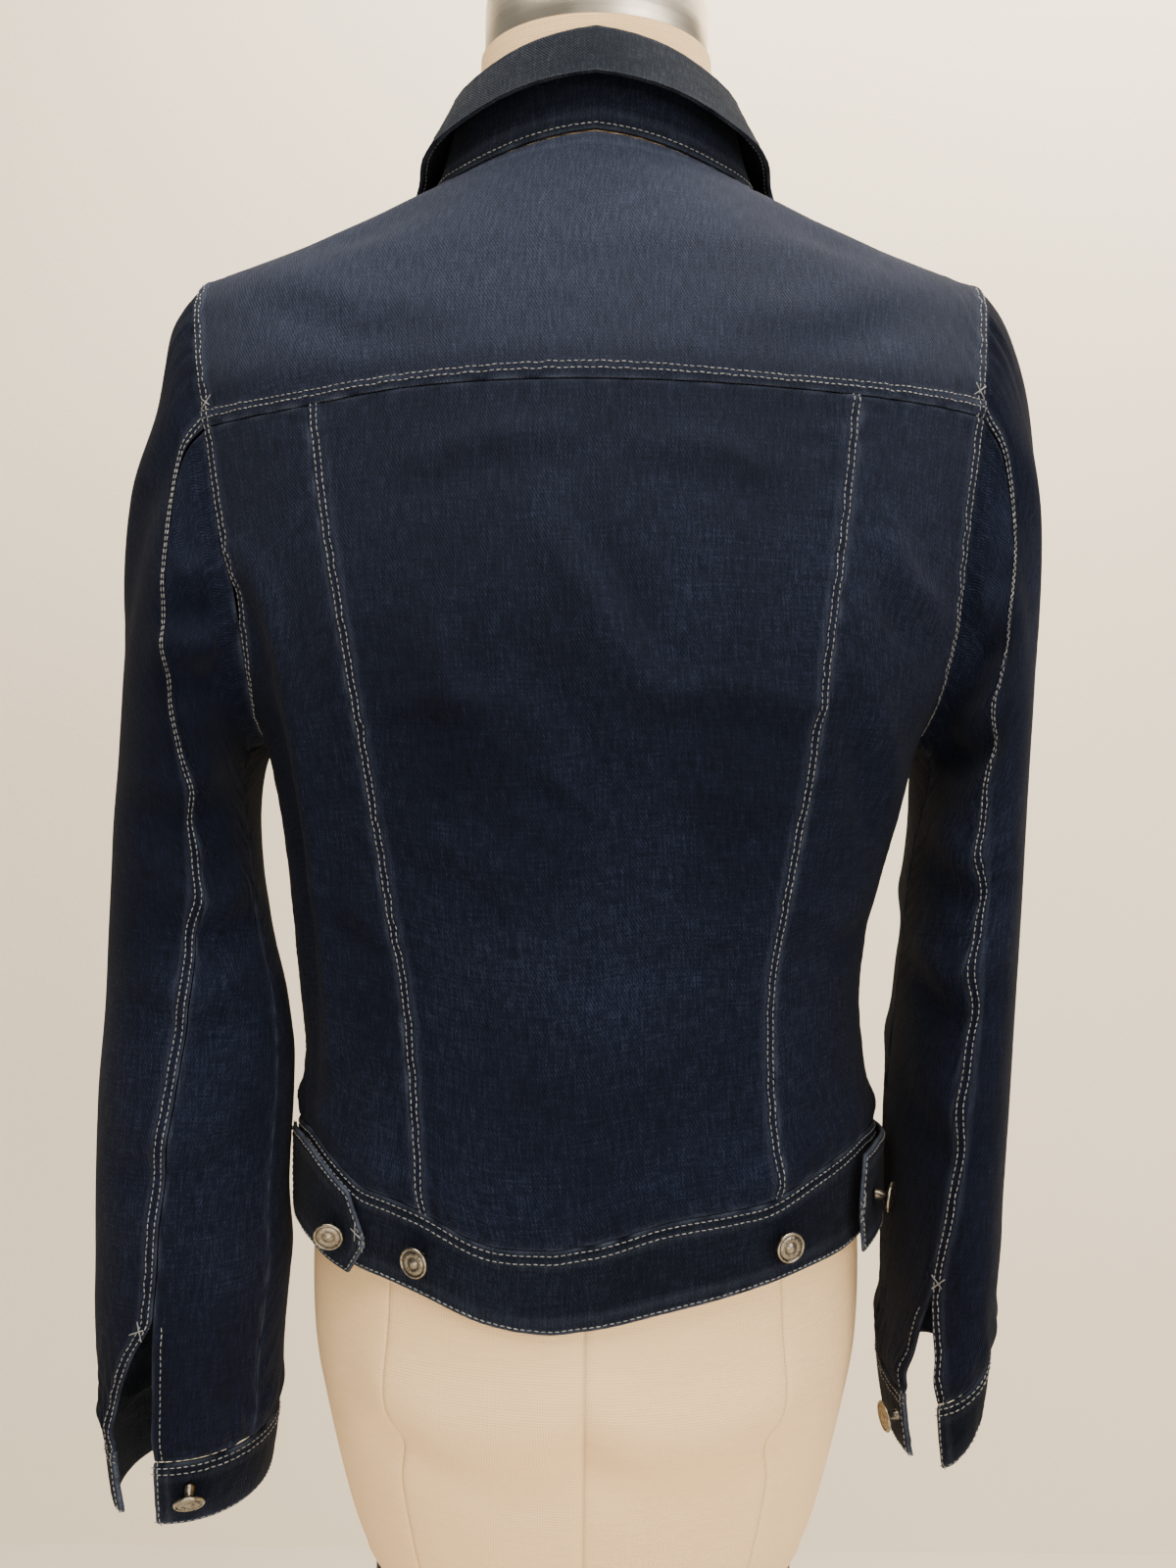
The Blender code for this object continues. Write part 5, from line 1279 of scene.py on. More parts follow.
def make_waistband(seams):
    """One band right round, with columns that meet each piece above it."""
    u = join(
        np.linspace(-FRONT_EDGE, -1, NECK_FRONT_COLUMNS + 1),
        np.linspace(-1, seams["right"][-1][0], SIDE_BACK_COLUMNS + 1),
        np.linspace(seams["right"][-1][0], seams["left"][-1][0], CENTRE_COLUMNS + 1),
        np.linspace(seams["left"][-1][0], 1, SIDE_BACK_COLUMNS + 1),
        np.linspace(1, FRONT_EDGE, NECK_FRONT_COLUMNS + 1),
    )
    top, hem = (np.stack([u, band_height(u, name)], -1) for name in ("top", "hem"))
    share = np.linspace(0, 1, BAND_ROWS + 1)[:, None, None]
    grid = top * (1 - share) + hem * share
    body_piece("waistband", grid, 61, proud=BAND_PROUD, thickness=FOLDED, worn="s")


def make_placket():
    """The strip that covers the fronts' edges."""
    heights = front_edge_heights()
    heights[0] -= PLACKET_BELOW_NECK
    z = join(heights, np.linspace(heights[-1], float(band_height(2.0, "hem")), BAND_ROWS + 1))[::2]
    left = body(u_at(PLACKET_WIDTH / 2, z, front=True), z)
    middle = body(2.0, z)
    share = np.linspace(-1, 1, PLACKET_COLUMNS + 1)[None, :, None]
    points = middle[:, None] + (left - middle)[:, None] * np.abs(share)
    points[..., 0] = PLACKET_WIDTH / 2 * np.sign(share[..., 0]) * np.abs(share[..., 0])
    outward = np.array([0, -1.0, 0])
    points = crowd(points + outward * (BAND_PROUD + PLACKET_CLEAR + FOLDED))
    normal = np.broadcast_to(outward, points.shape)
    distances = edge_distances(points)
    lift, wear, rounding = relief("front_placket", distances, 71)
    cloth("front_placket", points, normal, lift, rounding, wear, FOLDED)


def make_collar():
    """Stand, fold and fall, in one folded strip."""
    back = np.linspace(-1, 1, NECK_BACK_COLUMNS + 1)
    front = np.linspace(1, FRONT_EDGE, NECK_FRONT_COLUMNS + 1)
    around = join(-front[::-1], back, front)[::2]
    middle = np.array([collar_profile(u) for u in around]).swapaxes(0, 1)
    middle = crowd(middle)
    normal = grid_normal(middle)
    points = middle + normal * FOLDED / 2
    distances = edge_distances(points)
    lift, wear, rounding = relief("collar", distances, 81)
    fold_line = np.abs(distances["n"] - distances["n"].max() * 0.5)
    uneven = 0.6 + 0.4 * waves(distances["w"], 0.012, 83)
    wear = wear + 0.12 * np.exp(-((fold_line / 0.010) ** 2)) * uneven
    cloth("collar", points, normal, lift, rounding, wear, FOLDED)


def make_sleeve(side, sign, table, stretch):
    """The upper or the under half of a sleeve, eased into the armhole."""
    rows = np.linspace(0, len(table) - 1, (len(table) - 1) * SLEEVE_ROWS + 1)
    angles = crowd(sleeve_angles(side, sign, table, rows, stretch))
    rows = np.broadcast_to(crowd(np.repeat(rows[:, None], 9, 1))[:, :1], angles.shape)
    points = sleeve_point(side, sign, table, rows, angles)
    normal = sleeve_normal(side, sign, table, rows, angles)
    hole = armhole(side, sign, np.radians(angles[0] % 360))
    panel = body_normal(hole[:, 0], hole[:, 1])
    shared = np.clip((normal[0] * panel).sum(-1, keepdims=True) * 2 + 0.3, 0, 1)
    blend = np.clip(1 - rows[..., None] / 0.35, 0, 1)
    normal = unit(normal * (1 - blend * shared[None]) + panel[None] * blend * shared[None])
    points = draw_back(draw_back(points, GAP * 1.5, "esw"), GAP * 1.6, "n")
    distances = edge_distances(points)
    name = f"sleeve_{stretch}_{side}"
    lift, wear, rounding = relief(name, distances, (91 if stretch == "upper" else 95) + sign)
    at = angles * DEGREE_WIDTH * CM
    creases = [(h, w, [(a * DEGREE_WIDTH, z) for a, z in line]) for h, w, line in SLEEVE_FOLDS[side]]
    hush = smoothstep(distances["n"], 0.004, 0.02) * smoothstep(distances["s"], 0.004, 0.02)
    lift = lift + folds(at, points[..., 2], creases) * hush + puff(distances, 2.0, 99 + sign)
    cloth(name, points, normal, lift, rounding, wear, DENIM)


def make_cuff(side, sign, table):
    """A band round the sleeve's end, open at the slit."""
    last = float(len(table) - 1)
    upper = sleeve_angles(side, sign, table, np.array([last]), "upper")[0]
    under = sleeve_angles(side, sign, table, np.array([last]), "under")[0][::-1] - 360
    angles = join(upper, under)
    edge = sleeve_point(side, sign, table, last, angles)
    normal = unit(sleeve_normal(side, sign, table, np.full(len(angles), last), angles) * (1, 1, 0))
    share = np.linspace(0, 1, CUFF_FINE_ROWS + 1)[:, None, None]
    points = edge[None] - normal[None] * (CUFF_TURN_IN * share**2 - BAND_PROUD)
    points = points - np.array([0, 0, CUFF_HEIGHT]) * share
    points = crowd(draw_back(points, GAP * 1.2, "n"))
    normal = np.broadcast_to(crowd(np.repeat(normal[None], 9, 0))[:1], points.shape)
    distances = edge_distances(points)
    lift, wear, rounding = relief(f"cuff_{side}", distances, 101 + sign)
    for edge, seed, most in (("s", 103 + sign, 1.0), ("w", 105, 0.5), ("e", 107, 0.5)):
        wear = wear + rub(distances, edge, seed, most)
    cloth(f"cuff_{side}", points, normal, lift, rounding, wear, FOLDED)


def make_tab(side, sign):
    """A pointed tab on the waistband, whose end may lift."""
    coarse = tab_grid(side)
    grid = refine(coarse, TAB_FINE_ROWS + 1, TAB_FINE_COLUMNS + 1)
    rise = TABS[side][3] * np.linspace(1, 0, coarse.shape[1]) ** 1.6
    rise = refine(np.repeat(rise[None], 3, 0), TAB_FINE_ROWS + 1, TAB_FINE_COLUMNS + 1)
    grid, rise = crowd(grid), crowd(rise)
    points, normal = body(grid[..., 0], grid[..., 1]), body_normal(grid[..., 0], grid[..., 1])
    points = points + normal * (BAND_PROUD + TAB_CLEAR + TAB_THICKNESS + rise[..., None])
    distances = edge_distances(points)
    lift, wear, rounding = relief(f"tab_{side}", distances, 111 + sign)
    for edge in "nsw":
        wear = wear + rub(distances, edge, 113 + sign, 0.5)
    cloth(f"tab_{side}", points, normal, lift, rounding, wear, TAB_THICKNESS)


# ---------------------------------------------------------------- buttons

# A shank button's outline: radius as a share of its whole radius, metres from its foot, and how
# dark the plating is there. The underside comes first.
FINE_BUTTON = (
    (0.00, 0.0, 0.6), (0.30, 0.0, 0.6), (0.36, 0.0004, 0.6), (0.33, 0.0012, 0.5),
    (0.31, SHANK_LENGTH - 0.0022, 0.5), (0.40, SHANK_LENGTH - 0.0014, 0.5),
    (0.80, SHANK_LENGTH - 0.0010, 0.4), (0.94, SHANK_LENGTH - 0.0006, 0.2), (1.00, SHANK_LENGTH, 0.0),
    (0.985, SHANK_LENGTH + 0.0005, 0.0), (0.93, SHANK_LENGTH + 0.0009, 0.0),
    (0.86, SHANK_LENGTH + 0.0009, 0.1), (0.82, SHANK_LENGTH + 0.0004, 0.8),
    (0.76, SHANK_LENGTH + 0.0004, 0.7), (0.70, SHANK_LENGTH + 0.0008, 0.2),
    (0.58, SHANK_LENGTH + 0.0010, 0.1), (0.46, SHANK_LENGTH + 0.0009, 0.3),
    (0.40, SHANK_LENGTH + 0.0006, 0.7), (0.33, SHANK_LENGTH + 0.0007, 0.4),
    (0.22, SHANK_LENGTH + 0.0012, 0.0), (0.10, SHANK_LENGTH + 0.00145, 0.0),
    (0.0, SHANK_LENGTH + 0.0015, 0.0),
)
BUTTON_FINE_SIDES = 48
FLUTES = 16  # shallow scallops between the button's rim and its boss
FLUTE_DEPTH = 0.00022


def button(name, foot, normal, axis):
    """A plain shank button that may droop from its foot."""
    axis = unit(np.asarray(axis, float))
    turn = np.arange(BUTTON_FINE_SIDES) * 2 * math.pi / BUTTON_FINE_SIDES
    points, wear = [], []
    for share, height, dark in FINE_BUTTON:
        faces = normal if height == 0 else axis
        aside = unit(np.cross(faces, (0.3, 0.2, 1.0)))
        circle = np.cos(turn)[:, None] * aside + np.sin(turn)[:, None] * np.cross(faces, aside)
        flute = 0.5 + 0.5 * np.cos(turn * FLUTES)
        depth = FLUTE_DEPTH * flute * (0.5 < share < 0.75 and height > SHANK_LENGTH)
        ring_points = foot + axis * (height - depth)[:, None]
        ring_points = ring_points + circle * share * BUTTON_RADIUS
        if share == 0:
            ring_points = ring_points[:1]
        points.append(ring_points)
        wear.append(np.full(len(ring_points), dark))
    faces, start = [], 0
    for lower, upper in zip(points, points[1:]):
        a, b = start, start + len(lower)
        for i in range(BUTTON_FINE_SIDES):
            j = (i + 1) % BUTTON_FINE_SIDES
            if len(lower) == 1:
                faces.append((a, b + j, b + i))
            elif len(upper) == 1:
                faces.append((a + i, a + j, b))
            else:
                faces.append((a + i, a + j, b + j, b + i))
        start = b
    mesh = new_mesh(name, np.concatenate(points), faces, nickel, wear=np.concatenate(wear))
    turn_outward(mesh)
    stand_for(add_object(name + "_nickel", mesh), "button_metal", name)


def turn_outward(mesh):
    """Turns a closed mesh's faces round if they point in."""
    mesh.calc_loop_triangles()
    points = np.empty(len(mesh.vertices) * 3)
    mesh.vertices.foreach_get("co", points)
    corners = np.empty(len(mesh.loop_triangles) * 3, int)
    mesh.loop_triangles.foreach_get("vertices", corners)
    if np.linalg.det(points.reshape(-1, 3)[corners.reshape(-1, 3)]).sum() < 0:
        mesh.flip_normals()


def make_buttons():
    """Waistband, front and cuff buttons."""
    for name, u, z, clear, sideways, down in BAND_BUTTONS:
        normal = body_normal(u, z)
        base = body(u, z) + normal * (BAND_PROUD + GAP + clear)
        along = unit(np.cross((0, 0, 1), normal)) * -1
        button(name, base, normal, normal + along * sideways + np.array([0, 0, down]))
    highest = FRONT_NECK_HEIGHT - FRONT_BUTTON_BELOW_NECK
    lowest = float(band_height(2.0, "hem")) + FRONT_BUTTON_ABOVE_HEM
    outward = np.array([0, -1.0, 0])
    for i, z in enumerate(np.linspace(highest, lowest, FRONT_BUTTONS)):
        foot = body(2.0, z) + outward * (BAND_PROUD + PLACKET_CLEAR + FOLDED + BUTTON_CLEAR)
        button(f"button_front_{i + 1}", foot, outward, outward + (0, 0, FRONT_BUTTON_DROOP))
    for side, sign, table in SIDES:
        last = float(len(table) - 1)
        angle, lean = CUFF_BUTTONS[side]
        edge = sleeve_point(side, sign, table, last, angle)
        normal = unit(sleeve_normal(side, sign, table, last, angle) * (1, 1, 0))
        base = edge + normal * (BAND_PROUD + GAP) - np.array([0, 0, CUFF_BUTTON_DOWN])
        button(f"button_cuff_{side}", base, normal, normal + np.array([0, 0, lean]))


# ---------------------------------------------------------------- stitching

def row(piece, edge, inside, start=0.0):
    """Points of a stitch row that runs along a piece's edge this far inside it, from start metres
    along. A start below zero keeps only that much of its far end."""
    grid, distances = pieces[piece]["points"], pieces[piece]["distances"]
    normal = grid_facing(grid, pieces[piece]["normal"])
    lines, far, out = grid, distances[edge], normal
    if edge in "ns":
        lines, far, out = (np.swapaxes(values, 0, 1) for values in (lines, far, out))
    if edge in "se":
        lines, far, out = lines[:, ::-1], far[:, ::-1], out[:, ::-1]
    path = []
    for points, d, n in zip(lines, far, out):
        if d[-1] < inside:
            continue
        point = np.array([np.interp(inside, d, points[:, k]) for k in range(3)])
        raise_by = np.array([np.interp(inside, d, n[:, k]) for k in range(3)])
        path.append(point + raise_by * THREAD_PROUD)
    path = np.array(path)
    run = lengths(path, 0)
    start = start if start >= 0 else run[-1] + start
    return path[run >= start]


BAR_STEP = 0.002  # to the points that a tack's directions are worked out from


def bar(piece, edge, along, inside, reach, lean):
    """A short tack across a seam: its middle lies this far along and inside the edge, counted from
    the far end where it is below zero."""
    path = row(piece, edge, inside)
    run = lengths(path, 0)
    along = along if along >= 0 else run[-1] + along
    middle = np.array([np.interp(along, run, path[:, k]) for k in range(3)])
    ahead = np.array([np.interp(along + BAR_STEP, run, path[:, k]) for k in range(3)])
    ahead = unit(ahead - middle)
    other = row(piece, edge, inside + BAR_STEP)
    beside = other[np.argmin(np.linalg.norm(other - middle, axis=1))] - middle
    beside = unit(beside - ahead * (beside @ ahead))
    line = ahead * math.cos(lean) + beside * math.sin(lean)
    return np.array([middle + line * t for t in np.linspace(-reach / 2, reach / 2, 8)])


def stitch_tree():
    """Stitches along edges: a short capsule of thread at each pitch of each path."""
    tree = bpy.data.node_groups.new("stitches along paths", "GeometryNodeTree")
    face = tree.interface
    face.new_socket("Paths", in_out="INPUT", socket_type="NodeSocketGeometry")
    for name, value in (("Pitch", 0.0031), ("Stitch length", 0.0024), ("Thread radius", 0.0004)):
        face.new_socket(name, in_out="INPUT", socket_type="NodeSocketFloat").default_value = value
    face.new_socket("Seed", in_out="INPUT", socket_type="NodeSocketInt").default_value = 5
    face.new_socket("Thread", in_out="INPUT", socket_type="NodeSocketMaterial")
    face.new_socket("Stitches", in_out="OUTPUT", socket_type="NodeSocketGeometry")
    given = node(tree, "NodeGroupInput").outputs
    curve = node(tree, "GeometryNodeMeshToCurve", {"Mesh": given["Paths"]}).outputs["Curve"]
    spacing = {"Curve": curve, "Length": given["Pitch"]}
    spaced = node(tree, "GeometryNodeResampleCurve", spacing, mode="LENGTH")
    tangent = node(tree, "GeometryNodeInputTangent").outputs[0]
    wander = node(tree, "FunctionNodeRandomValue", data_type="FLOAT_VECTOR")
    wander.inputs[0].default_value, wander.inputs[1].default_value = (-0.12,) * 3, (0.12,) * 3
    tree.links.new(given["Seed"], wander.inputs["Seed"])
    aim = {0: tangent, 1: wander.outputs[0]}
    aimed = node(tree, "ShaderNodeVectorMath", aim, operation="ADD").outputs[0]
    turned = node(tree, "FunctionNodeAlignRotationToVector", {"Vector": aimed}, axis="Z").outputs[0]
    few_faces = {"Segments": 6, "Rings": 4, "Radius": 1.0}
    capsule = node(tree, "GeometryNodeMeshUVSphere", few_faces).outputs["Mesh"]
    half = maths(tree, "MULTIPLY", given["Stitch length"], 0.5)
    size = node(tree, "ShaderNodeCombineXYZ", {
        "X": given["Thread radius"], "Y": given["Thread radius"], "Z": half,
    }).outputs[0]
    laid = node(tree, "GeometryNodeInstanceOnPoints", {
        "Points": spaced.outputs[0], "Instance": capsule, "Rotation": turned, "Scale": size,
    }).outputs[0]
    real = node(tree, "GeometryNodeRealizeInstances", {"Geometry": laid}).outputs[0]
    soft = node(tree, "GeometryNodeSetShadeSmooth", {"Geometry": real}).outputs[0]
    finished = {"Geometry": soft, "Material": given["Thread"]}
    named = node(tree, "GeometryNodeSetMaterial", finished).outputs[0]
    node(tree, "NodeGroupOutput", {"Stitches": named})
    return tree


def sew(name, paths, tree, sizes):
    """Stitches along these paths, as one plain mesh."""
    points = np.concatenate(paths)
    edges, start = [], 0
    for path in paths:
        edges += [(i, i + 1) for i in range(start, start + len(path) - 1)]
        start += len(path)
    mesh = bpy.data.meshes.new(name + "_paths")
    mesh.from_pydata(points.tolist(), edges, [])
    guide = add_object(name + "_paths", mesh)
    modifier = guide.modifiers.new("stitches", "NODES")
    modifier.node_group = tree
    sockets = {
        item.name: item.identifier for item in tree.interface.items_tree if item.in_out == "INPUT"
    }
    modifier[sockets["Thread"]] = thread
    for key, value in sizes.items():
        modifier[sockets[key.replace("_", " ").capitalize()]] = value
    graph = bpy.context.evaluated_depsgraph_get()
    laid = bpy.data.meshes.new_from_object(guide.evaluated_get(graph), depsgraph=graph)
    guide.modifiers.remove(modifier)
    bpy.data.objects.remove(guide)
    laid.name = name
    stand_for(add_object(name, laid), "denim")


SLIT_LENGTH = {"left": 0.066, "right": 0.052}  # of the cuff opening up the sleeve
# Rows of topstitching: the piece, its edges, and how far in each row runs, in millimetres.
BODY_ROWS = (
    ("back_yoke", "s", (4.4, 8.2)),
    ("back_yoke", "we", (1.8, 5.2)),
    ("centre_back", "we", (1.8, 4.7)),
    ("waistband", "n", (2.0, 5.6)),
    ("waistband", "s", (2.0,)),
    ("collar", "snwe", (2.4,)),
    ("front_placket", "we", (2.5,)),
    ("front_placket", "we", (9.0,)),
)
EACH_SIDE_ROWS = (
    ("side_back", "e", (1.8, 5.5)),
    ("front", "e", (2.2, 7.5)),
    ("sleeve_upper", "w", (1.8, 5.0)),
    ("cuff", "n", (1.8, 4.8)),
    ("cuff", "s", (1.5,)),
    ("cuff", "we", (2.2,)),
    ("tab", "ns", (2.0,)),
    ("tab", "w", (1.8,)),
    ("tab", "e", (2.0,)),
)
SLIT_ROW = 0.0050  # inside the under sleeve's edge, along its slit
TOPSTITCH = {"pitch": 0.0031, "stitch_length": 0.0024, "thread_radius": 0.00029}
TACK_STITCH = {"pitch": 0.0008, "stitch_length": 0.0019, "thread_radius": 0.00034}


def rows_of(table, ending=""):
    """The rows of a table, on pieces whose names end this way."""
    return [
        row(piece + ending, edge, inside * MM)
        for piece, edges, insides in table
        for edge in edges
        for inside in insides
    ]


def make_stitching():
    """All topstitching, and the tacks at the corners that take strain."""
    tree = stitch_tree()
    sew("stitching_body", rows_of(BODY_ROWS), tree, TOPSTITCH)
    side_rows = []
    for side, slit in SLIT_LENGTH.items():
        side_rows += rows_of(EACH_SIDE_ROWS, "_" + side)
        side_rows.append(row(f"sleeve_under_{side}", "w", SLIT_ROW, start=-slit))
    sew("stitching_sides", side_rows, tree, TOPSTITCH)
    tacks = []
    for edge, corner in (("w", 0), ("e", -1)):
        long = float(pieces["back_yoke"]["distances"]["n"][-1, corner])
        for lean in (0.8, -0.8):
            tacks.append(bar("back_yoke", edge, long - 0.006, 0.005, 0.007, lean))
    for side, slit in SLIT_LENGTH.items():
        for lean in (0.75, -0.75):
            tacks.append(bar(f"tab_{side}", "n", 0.0078, 0.006, 0.007, lean))
            tacks.append(bar(f"sleeve_upper_{side}", "w", -slit - 0.004, 0.0042, 0.008, lean))
    sew("bar_tacks", tacks, tree, TACK_STITCH)


# ---------------------------------------------------------------- the dress form

FORM_SEAMS = (0.0, 38.0, -38.0, 90.0, -90.0, 142.0, -142.0, 180.0)  # degrees from the centre back
FORM_FINE_ROWS = 200
SEAT_FOLD = 0.727  # height of the soft fold under the form's seat, at its middle
SEAT_WIDTH, SEAT_END = 0.085, 0.118  # from the middle, to where the fold starts and ends running out
SEAT_DIP = 0.012  # of the fold's line between the middle and its ends
SEAT_FULL, SEAT_UNDER, SEAT_CLEFT = 0.0040, 0.0052, 0.0030  # out above it, in below it and between
SEAM_GROOVE = 0.0008  # depth of the form's seams
FORM_FINE_SIDES = 160
NECK_SIDES = 96
NECK_ROWS = 25
NECK_SPREAD = 0.10  # of the neck's size, at its foot
CAP_FINE_ROWS = (  # shares of the cap's height and of its size
    (0.0, 0.985), (0.03, 1.0), (0.40, 1.0), (0.78, 1.0),
    (0.86, 0.994), (0.92, 0.975), (0.965, 0.945), (1.0, 0.89),
)
SHARP_RIM = 45  # degrees
FORM_ROUNDNESS = 2.2  # 2 is an ellipse


def tube(name, rings, look, wear=None):
    """A closed solid through rings of equally many points, with its cloth's UVs and flat ends."""
    rings = np.asarray(rings)
    count, sides = rings.shape[:2]
    index = np.arange(count * sides).reshape(count, sides)
    after = np.roll(index, -1, 1)
    quads = np.stack([index[:-1], after[:-1], after[1:], index[1:]], -1).reshape(-1, 4)
    ends = [index[0].tolist()[::-1], index[-1].tolist()]
    around = lengths(rings, 1)
    up = np.broadcast_to(rings[..., 2].mean(1, keepdims=True), around.shape)
    flat = np.stack([around, up], -1).reshape(-1, 2)
    uv = flat[np.concatenate([quads.ravel(), *ends])]
    perimeter = around[:, -1] + np.linalg.norm(rings[:, -1] - rings[:, 0], axis=-1)
    wrap = uv[: len(quads) * 4].reshape(-1, sides, 4, 2)
    wrap[:, -1, 1, 0] = perimeter[:-1]
    wrap[:, -1, 2, 0] = perimeter[1:]
    mesh = new_mesh(name, rings.reshape(-1, 3), quads.tolist() + ends, look, uv, wear)
    mesh.set_sharp_from_angle(angle=math.radians(SHARP_RIM))
    turn_outward(mesh)
    return add_object(name, mesh)


def form_ring(z, half_width, back, front, turn, roundness, centre):
    """One level ring of the form, with its own depth behind and in front."""
    sine, cosine = np.sin(turn), np.cos(turn)
    x = half_width * np.sign(sine) * np.abs(sine) ** (2 / roundness)
    depth = np.where(cosine > 0, back, front) * np.sign(cosine) * np.abs(cosine) ** (2 / roundness)
    return np.stack([x, centre + depth, np.full(len(turn), z)], -1)


def seam_turns():
    """Angles round the form, with extra ones beside each seam for its groove."""
    even = np.arange(FORM_FINE_SIDES) * 2 * math.pi / FORM_FINE_SIDES
    steps = (-0.012, -0.005, 0.0, 0.005, 0.012)
    beside = [math.radians(seam) + step for seam in FORM_SEAMS for step in steps]
    return np.unique(np.round(np.mod(np.concatenate([even + 0.0031, beside]), 2 * math.pi), 5))


def make_form():
    """The limbless torso, with its seams and the soft fold under its seat."""
    turn = seam_turns()
    from_seams = turn[:, None] - np.radians(FORM_SEAMS)
    away = np.min(np.abs((from_seams + math.pi) % (2 * math.pi) - math.pi), 1)
    heights = np.linspace(FORM[0][0], FORM[-1][0], FORM_FINE_ROWS)
    z = np.unique(np.concatenate([heights, [row[0] for row in FORM]])) * CM
    sizes = zip(*(column(FORM, FORM_COLUMNS, name, z) for name in FORM_COLUMNS[1:]))
    rings = np.array([
        form_ring(height, *size, turn, FORM_ROUNDNESS, 0.0) for height, size in zip(z, sizes)
    ])
    out = unit(rings * (1, 1, 0))
    groove = np.exp(-((away / 0.006) ** 2))[None, :, None]
    rings = rings - out * groove * SEAM_GROOVE
    x, z_at, behind = rings[..., 0], rings[..., 2], smoothstep(rings[..., 1], 0.04, 0.08)
    seat = SEAT_FOLD - SEAT_DIP * np.sin(math.pi * np.clip(np.abs(x) / SEAT_WIDTH, 0, 1))
    side = 1 - smoothstep(np.abs(x), SEAT_WIDTH, SEAT_END)
    full = SEAT_FULL * np.exp(-(((z_at - seat - 0.020) / 0.020) ** 2))
    under = SEAT_UNDER * np.exp(-(((z_at - seat + 0.006) / 0.011) ** 2))
    cleft = SEAT_CLEFT * np.exp(-((x / 0.010) ** 2)) * np.exp(-(((z_at - seat - 0.008) / 0.022) ** 2))
    rings = rings + out * ((full - under) * side - cleft)[..., None] * behind[..., None]
    wear = np.broadcast_to(0.55 * np.exp(-((away / 0.004) ** 2)), rings.shape[:2])
    stand_for(tube("form_torso_canvas", rings, canvas, wear), "canvas", "form_torso")


def oval_rings(sizes, bottom, height, rows):
    """Rings of the neck or its cap. Rows are shares of the height and of the size."""
    turn = np.arange(NECK_SIDES) * 2 * math.pi / NECK_SIDES
    rings = []
    for share, size in rows:
        across, deep = sizes[0] * size, sizes[1] * size
        rings.append(form_ring(bottom + height * share, across, deep, deep, turn, 2.0, NECK_CENTRE))
    return rings


def make_neck():
    """The form's neck and the cap on it."""
    bottom = FORM[-1][0] * CM + GAP
    shares = np.linspace(0, 1, NECK_ROWS)
    rows = [(share, 1 + NECK_SPREAD * (1 - share) ** 2) for share in shares]
    rings = oval_rings(NECK_SIZES, bottom, NECK_TOP - bottom, rows)
    unworn = np.zeros((NECK_ROWS, NECK_SIDES))
    stand_for(tube("form_neck_canvas", rings, canvas, unworn), "canvas", "form_neck")
    rings = oval_rings(CAP_SIZES, NECK_TOP + GAP, CAP_TOP - NECK_TOP, CAP_FINE_ROWS)
    stand_for(tube("neck_cap_steel", rings, steel), "cap_steel", "neck_cap")


def enamel_stand():
    """The cage, the pole and the base keep their solids and get their enamel."""
    for name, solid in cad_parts.items():
        if name.startswith("cage_") or name in ("pole", "base"):
            for place in solid.material_slots:
                place.link = "OBJECT"
                place.material = iron


# ---------------------------------------------------------------- room, lights and camera

WALL_Y = -0.95
CAMERA_PLACE = (0.001, 0.635, 1.03)
CAMERA_LENS = 27.05  # millimetres on a 36 mm tall frame
CAMERA_ROLL = 0.5  # degrees
# Soft boxes: name, place, the point they face, size, watts and colour.
LIGHTS = (
    ("ceiling softbox", (0.1, 0.75, 2.6), (0, 0, 1.2), (1.8, 1.2), 50, "#fff3e2"),
    ("window side", (-1.3, 1.9, 1.55), (0, 0, 1.05), (1.2, 1.4), 38, "#fff7ec"),
    ("wall wash", (-0.7, -0.2, 2.9), (-0.4, WALL_Y, 0.9), (2.2, 0.5), 92, "#fff1de"),
    ("low fill", (0.1, 1.5, 0.35), (0, 0, 0.75), (1.6, 0.5), 12, "#fff1e0"),
)
ROOM_SIDE, ROOM_HEIGHT, ROOM_DEPTH = 3, 4, 3


def plane(name, corners, look):
    """A flat part of the room."""
    mesh = bpy.data.meshes.new(name)
    mesh.from_pydata(corners, [], [(0, 1, 2, 3)])
    mesh.materials.append(look)
    add_object(name, mesh)


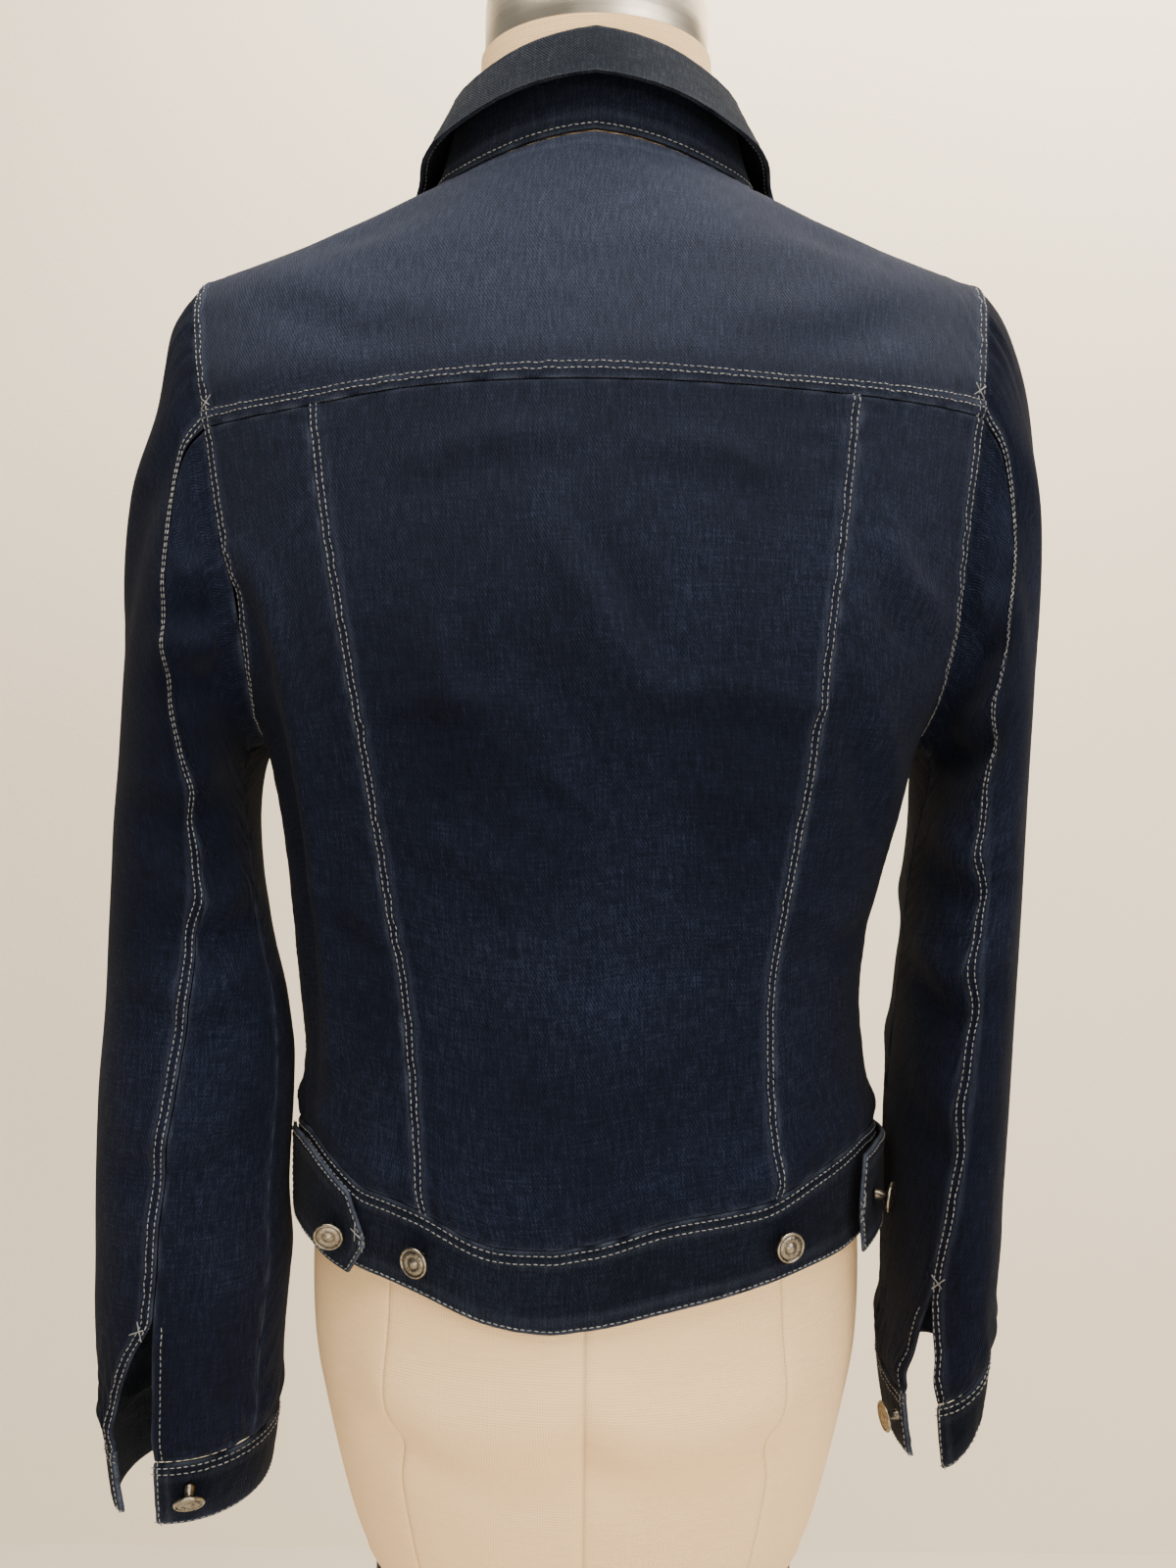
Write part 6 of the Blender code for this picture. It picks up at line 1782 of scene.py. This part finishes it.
def area_light(name, place, aim, size, power, colour):
    """A soft box that faces a point."""
    light = bpy.data.lights.new(name, "AREA")
    light.shape = "RECTANGLE"
    light.size, light.size_y = size
    light.energy = power
    light.color = linear(colour)[:3]
    add_object(name, light).matrix_world = looking(place, np.array(aim) - np.array(place))


def looking(place, direction, roll=0.0):
    """Where something stands that looks this way down its own -Z."""
    forward = unit(np.asarray(direction, float))
    right = unit(np.cross(forward, (0, 0, 1)))
    up = np.cross(right, forward)
    a = math.radians(roll)
    right, up = right * math.cos(a) + up * math.sin(a), up * math.cos(a) - right * math.sin(a)
    turned = Matrix(np.stack([right, up, -forward], 1).tolist()).to_4x4()
    return Matrix.Translation(place) @ turned


def make_room():
    """Wall, floor, lights, world and camera."""
    wall_look = plaster_finish("warm white painted plaster", "#f4ead6", "#f8f0df")
    floor_look = plaster_finish("pale painted boards", "#ddd5c6", "#e4dccd")
    left, right = (ROOM_SIDE, WALL_Y), (-ROOM_SIDE, WALL_Y)
    plane("wall", [(*left, 0), (*right, 0), (*right, ROOM_HEIGHT), (*left, ROOM_HEIGHT)], wall_look)
    near = [(ROOM_SIDE, ROOM_DEPTH, 0), (-ROOM_SIDE, ROOM_DEPTH, 0)]
    plane("floor", [(*right, 0), (*left, 0), *near], floor_look)
    for light in LIGHTS:
        area_light(*light)
    world = bpy.data.worlds.new("pale studio")
    world.use_nodes = True
    back = world.node_tree.nodes["Background"]
    back.inputs["Color"].default_value = linear("#e9e6e0")
    back.inputs["Strength"].default_value = 0.3
    bpy.context.scene.world = world
    camera = bpy.data.cameras.new("camera")
    camera.sensor_fit = "VERTICAL"
    camera.sensor_height = 36
    camera.lens = CAMERA_LENS
    camera.clip_start = 0.01
    made = add_object("camera", camera)
    made.matrix_world = looking(CAMERA_PLACE, (0, -1, 0), CAMERA_ROLL)
    bpy.context.scene.camera = made


make_room()
seams = make_body()
make_waistband(seams)
make_placket()
make_collar()
for side, sign, table in SIDES:
    make_sleeve(side, sign, table, "upper")
    make_sleeve(side, sign, table, "under")
    make_cuff(side, sign, table)
    make_tab(side, sign)
make_buttons()
make_stitching()
make_form()
make_neck()
enamel_stand()
